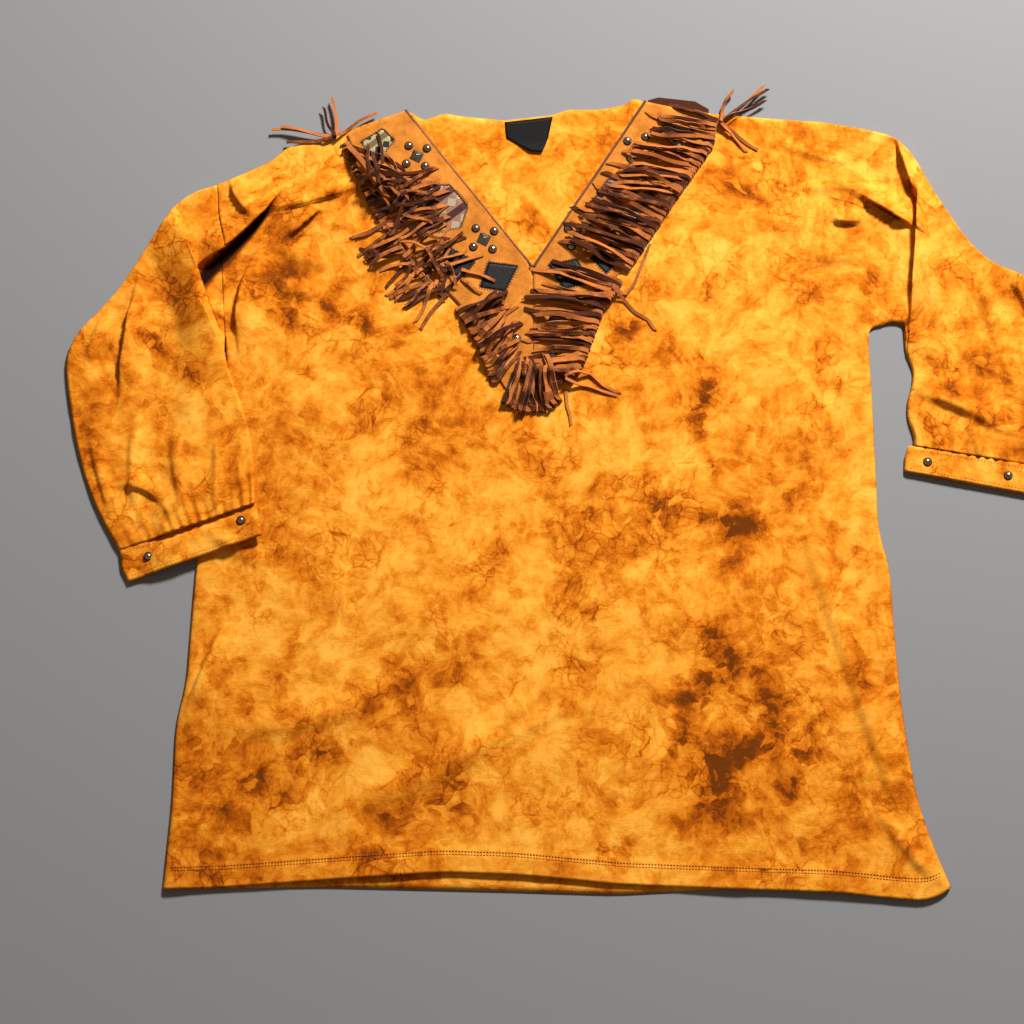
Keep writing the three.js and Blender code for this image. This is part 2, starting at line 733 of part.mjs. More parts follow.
// A strand whose middle lies at height z. A margin makes it fatter, and it can start at a later section.
function strandSolid(strand, z, margin = 0, first = 0) {
  const across = [-strand.way[1], strand.way[0]];
  const half = STRAND_WIDTH / 2 + margin;
  const thick = STRAND_THICK / 2 + margin;
  const corners = [[-half, -thick], [half, -thick], [half, thick], [-half, thick]];
  const sections = STRAND_SECTIONS.slice(first);
  const points = sections.flatMap(({ share, climb, bend }) => {
    const [x, y] = lerpPoint(strand.root, strand.tip, share);
    const middle = lerp(YOKE_Z + STRIP_HEIGHT / 2, z, climb);
    return corners.map(([side, up]) => {
      const off = strand.bend * bend + side;
      return [x + across[0] * off, y + across[1] * off, middle + up];
    });
  });
  const faces = [[0, 2, 1], [0, 3, 2]];
  for (let s = 0; s < sections.length - 1; s++) {
    for (let i = 0; i < 4; i++) {
      const [a, b] = [4 * s + i, 4 * s + ((i + 1) % 4)];
      faces.push([a, b, b + 4], [a, b + 4, a + 4]);
    }
  }
  const end = 4 * (sections.length - 1);
  faces.push([end, end + 1, end + 2], [end, end + 2, end + 3]);
  return solidOf(geometryOf(points, faces));
}

function stripSolid(fringe) {
  const inner = movedOff(fringe.edge, GAP);
  const outer = movedOff(fringe.edge, GAP + STRIP_WIDTH);
  const raised = (z) => inner.map((p, i) => [[...p, z], [...outer[i], z]]);
  return solidOf(wallBetween(raised(YOKE_Z + STRIP_HEIGHT), raised(YOKE_Z)));
}

function knotSolid(bunch) {
  const block = new THREE.BoxGeometry(KNOT[0], KNOT[1], STRIP_HEIGHT);
  return solidOf(block.translate(bunch.at[0], bunch.at[1], YOKE_Z + STRIP_HEIGHT / 2));
}

const TOUCH = 1e-6; // cubic mm that count as no overlap

// Lays each strand in the lowest layer where it touches nothing that is already there.
function layFringes(fringes, around) {
  const fixed = wasm.Manifold.union(around);
  const laid = fringes.map(({ backing }) => [backing]);
  let others = fixed.add(wasm.Manifold.union(laid.flat()));
  fringes.forEach(({ strands, backing }, at) => {
    const elsewhere = others.subtract(backing);
    let here = elsewhere;
    for (const strand of strands) {
      for (let layer = 0; layer < MOST_LAYERS; layer++) {
        const z = YOKE_Z + GAP + STRAND_THICK / 2 + layer * LAYER_STEP;
        const room = strandSolid(strand, z, GAP, 1).intersect(here).volume();
        const root = strandSolid(strand, z, GAP / 2).intersect(elsewhere).volume();
        if (room < TOUCH && root < TOUCH) {
          const solid = strandSolid(strand, z);
          laid[at].push(solid);
          here = here.add(solid);
          break;
        }
      }
    }
    others = others.add(wasm.Manifold.union(laid[at]));
  });
  return laid.map((solids) => wasm.Manifold.union(solids));
}

// Finishes
const FINISHES = {
  jersey: { color: "#e08a2e", roughness: 0.9 },
  suede: { color: "#c8742c", roughness: 0.85 },
  fringe: { color: "#7a4a2c", roughness: 0.9 },
  light_woven: { color: "#d9c59a", roughness: 0.9 },
  brown_woven: { color: "#8a5a4c", roughness: 0.9 },
  leather: { color: "#26272e", roughness: 0.5 },
  nickel: { color: "#b9b6ad", roughness: 0.3, metalness: 1 },
  label: { color: "#1c1b1d", roughness: 0.8 },
};
const garment = new THREE.Group();

function addPiece(name, geometry, finish) {
  const material = new THREE.MeshStandardMaterial({ metalness: 0, ...FINISHES[finish] });
  const piece = new THREE.Mesh(geometry, material);
  piece.name = name;
  garment.add(piece);
  return geometry;
}

// Assembly
const yokeTop = YOKE_Z + SUEDE + GAP;
const around = [];
const front = addPiece("front", frontPanel(), "jersey");
addPiece("back", backPanel(), "jersey");
addPiece("sleeve_left", flatTube(LEFT_SLEEVE), "jersey");
addPiece("sleeve_right", flatTube(RIGHT_SLEEVE), "jersey");
addPiece("cuff_left", flatTube(LEFT_CUFF), "jersey");
addPiece("cuff_right", flatTube(RIGHT_CUFF), "jersey");
addPiece("label", plate(LABEL, JERSEY + GAP, JERSEY + GAP + INLAY), "label");
around.push(front);

const HALVES = [
  { name: "left", sections: LEFT_YOKE, arm: LEFT_ARM },
  { name: "right", sections: RIGHT_YOKE, arm: RIGHT_ARM },
];
const WINDOW_FINISH = {
  light_woven: "light_woven",
  brown_woven: "brown_woven",
  dark_side: "leather",
  dark_neck: "leather",
};
for (const { name, sections, arm } of HALVES) {
  around.push(addPiece(`yoke_${name}`, yokeHalf(sections, arm), "suede"));
  for (const window of WINDOWS) {
    const finish = WINDOW_FINISH[window.name];
    addPiece(`inlay_${window.name}_${name}`, inlay(window, arm), finish);
  }
  ARM_SPOTS.forEach((place, i) => {
    const [x, y] = onArm(arm, place);
    around.push(addPiece(`spot_${name}_${i + 1}`, spot(x, y, yokeTop), "nickel"));
  });
  ARM_PYRAMIDS.forEach((place, i) => {
    const [x, y] = onArm(arm, place);
    around.push(addPiece(`pyramid_${name}_${i + 1}`, pyramid(x, y, yokeTop), "nickel"));
  });
}
CENTRE_SPOTS.forEach(([x, y], i) => {
  around.push(addPiece(`spot_centre_${i + 1}`, spot(x, y, yokeTop), "nickel"));
});
around.push(addPiece("pyramid_centre", pyramid(...CENTRE_PYRAMID, yokeTop), "nickel"));
CUFF_SNAPS.forEach(({ cuff, at }, i) => {
  const rides = cuff === "left" ? 1 : 0;
  const under = [-SPOT_RADIUS, SPOT_RADIUS].map((k) => sleeveUnderside({ rides }, at[0] + k, at[1]));
  const seat = Math.max(...under) + SLEEVE_HEIGHT + GAP;
  addPiece(`snap_${cuff}_${(i % 2) + 1}`, spot(...at, seat), "nickel");
});

const rollLow = BACK_ROLL.map((row) => [row.x, row.low]);
const rollHigh = BACK_ROLL.map((row) => [row.x, row.high]).reverse();
addPiece("yoke_back", plate([...rollLow, ...rollHigh], 0, SUEDE), "suede");

// Each fringe numbers its strands from a hundred of its own, so that one can change by itself.
const fringes = [
  ...FRINGES.map((fringe, i) => ({
    name: fringe.name,
    backing: stripSolid(fringe),
    strands: strandsOfStrip(fringe, 100 * i),
  })),
  ...BUNCHES.map((bunch, i) => ({
    name: bunch.name,
    backing: knotSolid(bunch),
    strands: strandsOfBunch(bunch, 100 * (FRINGES.length + i)),
  })),
];
layFringes(fringes, around.map(solidOf)).forEach((solid, i) => {
  addPiece(fringes[i].name, geometryOfSolid(solid), "fringe");
});

const box = new THREE.Box3().setFromObject(garment);
const middle = box.getCenter(new THREE.Vector3());
garment.position.set(-middle.x, -middle.y, -box.min.z);

export default garment;
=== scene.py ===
# %% [markdown]
# # A fringed jersey tunic, laid flat
# The tunic lies on its back on a pale floor. Its body and sleeves are crumple-dyed cotton jersey, and a
# suede band with windows, studs and a fringe runs round the V of the neck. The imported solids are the
# fixed frame: every piece here is drawn on the maker's plan in millimetres, x across, y from hem to neck
# and z up from the floor, and is moved on to the frame once, when it is finished.

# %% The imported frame
from math import pi, radians, sin

import bmesh
import bpy
import numpy as np
from mathutils import Matrix, Vector, noise


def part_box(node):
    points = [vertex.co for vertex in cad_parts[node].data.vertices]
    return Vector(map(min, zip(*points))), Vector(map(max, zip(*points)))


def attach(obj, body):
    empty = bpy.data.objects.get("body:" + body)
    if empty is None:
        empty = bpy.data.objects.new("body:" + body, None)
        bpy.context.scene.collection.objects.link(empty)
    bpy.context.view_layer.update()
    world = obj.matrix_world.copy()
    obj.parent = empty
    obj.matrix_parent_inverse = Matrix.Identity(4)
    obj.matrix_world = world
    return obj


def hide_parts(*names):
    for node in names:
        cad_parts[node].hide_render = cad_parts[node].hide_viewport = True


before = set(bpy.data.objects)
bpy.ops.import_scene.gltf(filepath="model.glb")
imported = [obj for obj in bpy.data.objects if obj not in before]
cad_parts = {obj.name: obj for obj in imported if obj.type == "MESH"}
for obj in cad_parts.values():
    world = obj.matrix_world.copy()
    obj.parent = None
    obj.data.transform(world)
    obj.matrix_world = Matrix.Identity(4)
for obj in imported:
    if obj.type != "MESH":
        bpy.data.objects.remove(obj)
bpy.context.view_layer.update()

# %% [markdown]
# ## The plan and the frame
# The label's lowest corner is a point that the plan and the frame both know, so the shift between the
# two is read from it instead of being written down twice. Shapes that repeat a few measures, such as
# folds and dye streaks, are rows of tables, and one function names the columns of each.

# %% Plan to frame
MM = 0.001
LABEL_CORNER = (-62, 341)
label_low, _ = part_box("label")
shift = (label_low.x - LABEL_CORNER[0] * MM, label_low.y - LABEL_CORNER[1] * MM, 0)
TO_FRAME = Matrix.Translation(shift) @ Matrix.Scale(MM, 4)
print("plan is shifted by", [round(c, 5) for c in shift])


def table(columns, rows):
    """Rows that are read by the names of their columns, the last of which a row may leave out."""
    return [dict(zip(columns.split(), row)) for row in rows]



# %% [markdown]
# ## Colours and nodes
# Colours are written as the eye reads them, in sRGB, and one function turns them linear for the shader.
# One more adds a node with its settings and links, and hands back the socket that is wanted.

# %% Colour and node helpers
def colour(code):
    shares = [int(code[i:i + 2], 16) / 255 for i in (1, 3, 5)]
    linear = [s / 12.92 if s <= 0.04045 else ((s + 0.055) / 1.055) ** 2.4 for s in shares]
    return (*linear, 1)


def add(tree, kind, inputs, out=0, **settings):
    """Adds a shader node, links or sets its inputs, and returns one of its outputs."""
    node = tree.nodes.new("ShaderNode" + kind)
    for setting, value in settings.items():
        setattr(node, setting, value)
    for key, value in inputs.items():
        if isinstance(value, bpy.types.NodeSocket):
            tree.links.new(value, node.inputs[key])
        else:
            node.inputs[key].default_value = value
    return node.outputs[out]


def new_finish(name, constants):
    """A material with these constant values on its shader."""
    finish = bpy.data.materials.new(name)
    finish.use_nodes = True
    shader = finish.node_tree.nodes["Principled BSDF"]
    for socket, value in constants.items():
        shader.inputs[socket].default_value = value
    return finish, finish.node_tree, shader


def every(size):
    """The texture scale at which a pattern repeats about every so many millimetres."""
    return 1 / (size * MM)


BETWEEN = {"out": 2, "data_type": "RGBA"}  # a Mix node for two colours
SHADED = {**BETWEEN, "blend_type": "MULTIPLY"}
SOFTLY = {"interpolation_type": "SMOOTHSTEP"}

# %% [markdown]
# ## Crumple-dyed cotton jersey
# The cloth was scrunched, tied and dyed golden orange, so the dye pooled in the creases. The eye reads
# four things: smooth pale cells, soft deeper orange drifts, thin broken rust veins where the creases
# ran, and a few brown blotches with ragged edges. Cell patterns bent by slow noise give the cells and
# the veins. Where the blotches lie is stored on the cloth as the attribute "dye", and the noise only
# frays their edges. Past 1 the same attribute holds painted shade: it marks the troughs under the steep
# folds, where hardly any light comes in, and paints the cloth there nearly black. Fine level streaks are
# the knit's own courses.

# %% Jersey finish
DYE_TONES = [
    (0.0, "#EEB045"),
    (0.22, "#EBA238"),
    (0.42, "#DC8A22"),
    (0.6, "#C76C0E"),
    (0.75, "#A65204"),
    (0.88, "#843C03"),
    (1.0, "#653003"),
]
FACET = 34  # mm across a large crumple facet
SPLINTER = 11
BEND = 45  # mm by which slow noise bends the cells
FRAY = 12  # mm by which quick noise frays them
COURSE = 1.3  # mm between knit courses, drawn about twice as coarse as real ones so that they show
TROUGH_SHADE = 1.3  # what the attribute "dye" holds in the deepest trough, where it paints the darkest shade


def jersey_finish():
    finish, tree, shader = new_finish(
        "crumple_dyed_cotton_jersey", {"Roughness": 0.92, "Specular IOR Level": 0.08}
    )
    # Places on the cloth, and the same bent and frayed by noise
    place = add(tree, "TexCoord", {}, out="Object")
    flat = add(tree, "VectorMath", {0: place, 1: (1, 1, 0.3)}, operation="MULTIPLY")
    slow = add(tree, "TexNoise", {"Vector": flat, "Scale": every(80), "Detail": 2}, out="Color")
    quick = add(tree, "TexNoise", {"Vector": flat, "Scale": every(15), "Detail": 3}, out="Color")
    bent = add(tree, "VectorMath", {0: slow, 1: (BEND * MM,) * 3, 2: flat}, operation="MULTIPLY_ADD")
    frayed = add(tree, "VectorMath", {0: quick, 1: (FRAY * MM,) * 3, 2: bent}, operation="MULTIPLY_ADD")

    # Soft drifts, from pale to a deeper orange
    broad = add(tree, "TexNoise", {"Vector": flat, "Scale": every(130), "Detail": 2})
    lively = {"Detail": 8, "Roughness": 0.74, "Distortion": 0.1}
    drift = add(tree, "TexNoise", {"Vector": bent, "Scale": every(30), **lively})
    amount = add(tree, "Math", {0: broad, 1: 0.45, 2: drift}, operation="MULTIPLY_ADD")
    amount = add(tree, "MapRange", {"Value": amount, 1: 0.49, 2: 0.97, 3: 0.0, 4: 0.84})

    # Each cell takes up a little more or less of the dye than its neighbours
    for size, share in ((FACET, 0.13), (SPLINTER, 0.16)):
        cell = add(tree, "TexVoronoi", {"Vector": frayed, "Scale": every(size)}, out="Color")
        cell = add(tree, "SeparateColor", {0: cell}, out="Red")
        cell = add(tree, "Math", {0: cell, 1: -0.5}, operation="ADD")
        amount = add(tree, "Math", {0: cell, 1: share, 2: amount}, operation="MULTIPLY_ADD")
    splinter = cell

    # Rust veins between the cells, broken up by patches, and longer wisps
    patches = add(tree, "TexNoise", {"Vector": bent, "Scale": every(45), "Detail": 2})
    broken = add(tree, "MapRange", {"Value": patches, 1: 0.44, 2: 0.68}, **SOFTLY)
    for size, reach, share in ((FACET, 0.045, 0.18), (SPLINTER, 0.11, 0.16)):
        pattern = {"Vector": frayed, "Scale": every(size)}
        edge = add(tree, "TexVoronoi", pattern, feature="DISTANCE_TO_EDGE")
        vein = add(tree, "MapRange", {"Value": edge, 1: reach, 2: 0.0}, **SOFTLY)
        vein = add(tree, "Math", {0: vein, 1: broken}, operation="MULTIPLY")
        amount = add(tree, "Math", {0: vein, 1: share, 2: amount}, operation="MULTIPLY_ADD")

    ridges = {"Vector": frayed, "Scale": every(52), "Detail": 7, "Roughness": 0.6}
    crease = add(tree, "TexNoise", ridges, noise_type="RIDGED_MULTIFRACTAL", normalize=False)
    wisp = add(tree, "MapRange", {"Value": crease, 1: 0.9, 2: 2.2}, **SOFTLY)
    amount = add(tree, "Math", {0: wisp, 1: 0.22, 2: amount}, operation="MULTIPLY_ADD")

    # Brown blotches where the attribute says, with edges that follow the cells and the wisps; in the fold
    # troughs this darkening is painted shade
    # The attribute "dye" holds the real dye up to 1, and past 1 the painted shade of the fold troughs.
    dye = add(tree, "Attribute", {}, out="Fac", attribute_name="dye")
    fringed = add(tree, "MapRange", {"Value": crease, 1: 0.4, 2: 2.2, 3: -0.26, 4: 0.4})
    fringed = add(tree, "Math", {0: splinter, 1: 0.4, 2: fringed}, operation="MULTIPLY_ADD")
    fringed = add(tree, "Math", {0: drift, 1: 0.7, 2: fringed}, operation="MULTIPLY_ADD")
    fringed = add(tree, "Math", {0: dye, 1: fringed}, operation="ADD")
    stain = add(tree, "MapRange", {"Value": fringed, 1: 0.5, 2: 1.25}, **SOFTLY)
    stain = add(tree, "Math", {0: stain, 1: dye}, operation="MULTIPLY")
    amount = add(tree, "Math", {0: dye, 1: 0.26, 2: amount}, operation="MULTIPLY_ADD")
    amount = add(tree, "Math", {0: stain, 1: 0.32, 2: amount}, operation="MULTIPLY_ADD")
    tone = add(tree, "ValToRGB", {0: amount})
    stops = tone.node.color_ramp.elements
    for at, _ in DYE_TONES[1:-1]:
        stops.new(at)
    for stop, (_, code) in zip(stops, DYE_TONES):
        stop.color = colour(code)

    # The knit's courses, and the painted shade of the troughs
    level = add(tree, "Mapping", {"Vector": place, "Scale": (0.16, 1, 0.2)})
    streaks = add(tree, "TexNoise", {"Vector": level, "Scale": every(COURSE), "Detail": 2})
    streak = add(tree, "MapRange", {"Value": streaks, 3: 0.86, 4: 1.12})
    # Painted shade: past 1 the attribute darkens the cloth towards nearly black in the fold troughs.
    depth = add(tree, "MapRange", {"Value": dye, 1: 1.0, 2: TROUGH_SHADE, 3: 1.0, 4: 0.1}, **SOFTLY)
    for shade in (streak, depth):
        tone = add(tree, "Mix", {0: 1.0, 6: tone, 7: shade}, **SHADED)
    tree.links.new(tone, shader.inputs["Base Color"])

    # Fine creases that were never ironed out, and the knit on top of them
    crumple = add(tree, "TexNoise", {"Vector": frayed, "Scale": every(13), "Detail": 4})
    soft = add(tree, "Bump", {"Height": crumple, "Strength": 0.4, "Distance": 0.0015}, out="Normal")
    courses = {"Height": streaks, "Normal": soft, "Strength": 0.4, "Distance": 0.0003}
    knit = add(tree, "Bump", courses, out="Normal")
    tree.links.new(knit, shader.inputs["Normal"])
    return finish


jersey = jersey_finish()
print("made", jersey.name)

# %% [markdown]
# ## The cloth's form
# The garment was dropped and smoothed by hand, so it has a few large folds near the left shoulder and
# the sleeves, slow low waves everywhere, and a light crumple. Each fold is a row of a table: it runs
# along a curve from a through b to c, stands up by its height and falls away over so many mm to its
# right and left. A fold with a lean hangs over its steep side by so many mm, and a trough of painted
# shade, nearly black, runs along the foot of that side. Widens says how much wider that painted shade
# is at c. All the cloth reads the same functions, so that what lies on a panel rises and falls with it.

# %% Outline of the panels
# The rows of the two sides are y and x, and all the others are x and y.
LEFT_SIDE = [
    (-406, -390), (-325, -384), (-249, -383), (-208, -374), (-121, -370), (-86, -368), (-27, -359),
    (55, -344), (143, -345), (306, -358),
]
RIGHT_SIDE = [
    (-404, 367), (-364, 351), (-321, 338), (-278, 332), (-224, 326), (-147, 322), (-98, 321),
    (-58, 311), (68, 310), (154, 308), (366, 313),
]
FRONT_HEM = [
    (-390, -406), (-327, -404), (-201, -395), (-123, -390), (-54, -392), (55, -402), (165, -406),
    (258, -409), (314, -415), (348, -417), (367, -404),
]
BACK_HEM = [
    (-390, -406), (-233, -404), (-54, -408), (45, -411), (165, -405), (314, -411), (348, -413),
    (367, -404),
]
LEFT_SHOULDER = [
    (-358, 306), (-331, 318), (-305, 331), (-288, 346), (-227, 364), (-188, 379), (-165, 387),
]
RIGHT_SHOULDER = [
    (84, 397), (99, 392), (137, 388), (151, 383.5), (225, 377), (269, 374), (313, 366),
]
BACK_NECK = [
    (-147, 376), (-126, 384), (-104, 380), (-63, 376), (-12, 382), (4, 388), (37, 388), (64, 393),
    (73, 401),
]
NECK_LEFT = (-165, 387)
NECK_POINT = (-33, 217)
NECK_RIGHT = (84, 397)
ARMHOLE = {"left": 143, "right": 145}  # height at which each side edge becomes an armhole seam


def smooth(t):
    """Goes from 0 to 1 with a gentle start and end."""
    t = np.clip(t, 0, 1)
    return t * t * (3 - 2 * t)


def read_line(rows, at, reach=0):
    """Reads the second column by the first, with the corners rounded off over some reach."""
    keys = [row[0] for row in rows]
    values = [row[1] for row in rows]
    at = np.asarray(at, float)
    room = np.minimum(at - keys[0], keys[-1] - at)
    step = np.clip(room / 2, 0, reach / 2)
    return sum(np.interp(at + k * step, keys, values) for k in (-2, -1, 0, 1, 2)) / 5


def left_edge(y):
    return read_line(LEFT_SIDE, y, 14)


def right_edge(y):
    return read_line(RIGHT_SIDE, y, 14)


# %% Folds
FOLD_STEPS = 12
FOLD_TAPER = 0.3  # share of a fold's length over which each end dies away
FOLDS = table("on a b c height right left lean widens", [
    # Folds that the solids have too
    ("both", (-290, 304), (-331, 260), (-384, 213), 17, 34, 7, 11, 2.6),
    ("sleeve", (-405, 281), (-378, 208), (-343, 120), 12, 42, 4, 5),
    ("sleeve", (-439, 192), (-441, 139), (-451, 82), 8, 4, 30, 5),
    ("sleeve", (-449, -13), (-419, -10), (-403, -32), 5, 4, 20),
    ("body", (-345, 309), (-336, 286), (-327, 273), 6, 5, 20, 3),
    ("body", (-332, 137), (-335, 184), (-315, 233), 9, 26, 4, 4),
    ("body", (-251, 281), (-267, 270), (-289, 247), 7, 22, 5, 5),
    ("body", (-300, 279), (-262, 287), (-214, 303), 6, 5, 24, 3),
    ("both", (301, 295), (332, 284), (360, 258), 10, 4.5, 26, 6),
    ("body", (270, 267), (290, 266), (308, 266), 5, 4, 18, 3),
    ("sleeve", (345, 356), (356, 321), (366, 284), 10, 4, 14, 5),
    ("sleeve", (366, 314), (366, 256), (350, 149), 11, 3.5, 42, 5),
    ("sleeve", (358, 84), (398, 71), (439, 45), 6, 9, 30),
    ("sleeve", (455, 202), (467, 185), (474, 160), 5, 4, 16),
    ("body", (228, -30), (272, -180), (336, -384), 3.2, 10, 26),
    ("body", (-338, -150), (-354, -190), (-372, -236), 6, 5, 24),
    ("body", (-330, -250), (-260, -262), (-170, -214), 3, 16, 26),
    ("body", (-210, -330), (-130, -306), (-60, -250), 3, 16, 28),
    # Smaller creases
    ("sleeve", (-470, 165), (-476, 150), (-486, 118), 2.5, 5, 14),
    ("sleeve", (-432, 60), (-440, 10), (-430, -40), 3, 7, 16),
    ("sleeve", (-396, 40), (-392, 0), (-380, -50), 2.5, 6, 14),
    ("sleeve", (-350, 40), (-352, 5), (-346, -36), 2.5, 6, 14),
    ("sleeve", (-478, 40), (-470, 0), (-452, -44), 3, 6, 14),
    ("sleeve", (420, 214), (432, 170), (440, 120), 3, 7, 16),
    ("sleeve", (388, 150), (392, 110), (384, 70), 2.5, 7, 16),
    ("sleeve", (470, 110), (462, 70), (466, 30), 3, 7, 18),
    ("sleeve", (400, 60), (412, 36), (414, 14), 2.5, 6, 14),
    ("body", (-366, 172), (-359, 172), (-340, 160), 3, 7, 12),
    ("body", (-310, 205), (-286, 190), (-250, 186), 3, 8, 20),
    ("body", (-300, 240), (-270, 222), (-240, 216), 2.5, 8, 18),
    ("body", (-240, 322), (-262, 312), (-284, 304), 3, 8, 14),
    ("body", (222, 352), (250, 336), (290, 330), 2.5, 7, 16),
    ("body", (236, 306), (262, 296), (300, 304), 2.5, 7, 14),
    ("body", (250, 232), (276, 222), (306, 226), 2.5, 8, 16),
    ("body", (-58, -266), (-30, -248), (2, -228), 2, 9, 9),
    ("body", (-352, -60), (-330, -80), (-296, -92), 2.5, 9, 16),
    ("body", (300, -330), (320, -370), (352, -396), 3, 8, 14),
])


def curve_points(fold):
    """Points along the curve from a through b to c."""
    a, b, c = (np.array(fold[k], float) for k in "abc")
    return [a * (1 - t) ** 2 + b * 2 * t * (1 - t) + c * t * t for t in np.linspace(0, 1, FOLD_STEPS + 1)]


def near_line(line, x, y):
    """For each place, how far the line is, whether the place is right of it, and how far along."""
    best = np.full(x.shape, np.inf)
    right = np.zeros(x.shape, bool)
    along = np.zeros(x.shape)
    for i, (p, q) in enumerate(zip(line, line[1:])):
        run = q - p
        fx, fy = x - p[0], y - p[1]
        share = np.clip((fx * run[0] + fy * run[1]) / (run @ run), 0, 1)
        away = np.hypot(fx - share * run[0], fy - share * run[1])
        nearer = away < best
        best = np.where(nearer, away, best)
        right = np.where(nearer, fx * run[1] - fy * run[0] > 0, right)
        along = np.where(nearer, (i + share) / (len(line) - 1), along)
    return best, right, along


SLEEVE_FOLD = FOLDS[1]
SLEEVE_FOLD_END = -340  # x of its end, past which there is only body
FADE = 8


def body_side(x, y):
    """1 on the body's side of the left sleeve's long fold, where the shoulder's big fold ends, or 0."""
    away, outer, _ = near_line(curve_points(SLEEVE_FOLD), x, y)
    return np.where(x < SLEEVE_FOLD_END, smooth(0.5 + np.where(outer, -away, away) / FADE), 1)


def fold_share(fold, x, y):
    """How much of a fold's height each place has, from 0 to 1."""
    away, right, along = near_line(curve_points(fold), x, y)
    taper = smooth(along / FOLD_TAPER) * smooth((1 - along) / FOLD_TAPER)
    reach = np.where(right, fold["right"], fold["left"])
    share = (0.25 + 0.75 * taper) * (1 - smooth(away / reach))
    return share * body_side(x, y) if "widens" in fold else share


def relief(where, x, y):
    """Height that the folds give to the body or a sleeve."""
    x, y = np.asarray(x, float), np.asarray(y, float)
    height = np.zeros(x.shape)
    for fold in FOLDS:
        if fold["on"] in (where, "both"):
            height += fold["height"] * fold_share(fold, x, y)
    return height


def lean(where, x, y):
    """How far the taller folds hang over their steep side, across and up."""
    across, up = np.zeros(x.shape), np.zeros(x.shape)
    for fold in FOLDS:
        if "lean" in fold and fold["on"] in (where, "both"):
            run = Vector(fold["c"]) - Vector(fold["a"])
            side = Vector((-run.y, run.x)).normalized() * (1 if fold["left"] < fold["right"] else -1)
            push = fold["lean"] * fold_share(fold, x, y) ** 1.5
            across += side.x * push
            up += side.y * push
    return across, up


# %% Waves and crumple
WAVE = 2.6  # mm, the height of the slow waves
CRUMPLE = 0.9  # mm, the height of the scrunched lines


RIDGE = 2.4  # how quickly a crumple line falls away to both sides


def lumps(x, y, wide, long, layer):
    """Smooth noise from about -1 to 1, with lumps of this size."""
    return noise.noise(Vector((x / wide, y / long, layer)))


def waviness(x, y):
    """Slow waves and crumple lines, never below zero."""
    def at(px, py):
        wave = 0.5 + 0.62 * lumps(px, py, 150, 95, 3.1)
        ridge = 1 - RIDGE * abs(lumps(px, py, 52, 44, 7.7))
        fine = 1 - RIDGE * abs(lumps(px, py, 21, 19, 1.3))
        patch = smooth(0.5 + 1.4 * lumps(px, py, 90, 80, 5.0))
        return WAVE * max(wave, 0) + patch * CRUMPLE * (max(ridge, 0) + 0.45 * max(fine, 0))
    return np.array([at(px, py) for px, py in zip(np.ravel(x), np.ravel(y))]).reshape(np.shape(x))


print(len(FOLDS), "folds, the tallest", max(fold["height"] for fold in FOLDS), "mm")

# %% Map of the lift
LIFT_AT = (-420, -430)
LIFT_SPAN = (820, 860)
LIFT_STEP = 2
lift_x, lift_y = np.meshgrid(
    *(low + np.arange(0, span, LIFT_STEP) for low, span in zip(LIFT_AT, LIFT_SPAN)), indexing="ij"
)
lift_map = waviness(lift_x, lift_y) + relief("body", lift_x, lift_y)


def lift_at(x, y):
    """How far the folds and waves lift what lies on the front, read between the map's points."""
    u, v = (
        np.clip((np.asarray(place, float) - low) / LIFT_STEP, 0, count - 1.001)
        for place, low, count in zip((x, y), LIFT_AT, lift_map.shape)
    )
    i, j = u.astype(int), v.astype(int)
    s, t = u - i, v - j
    near = lift_map[i, j] * (1 - t) + lift_map[i, j + 1] * t
    far = lift_map[i + 1, j] * (1 - t) + lift_map[i + 1, j + 1] * t
    return near * (1 - s) + far * s


def rise(x, y):
    return float(lift_at(x, y))
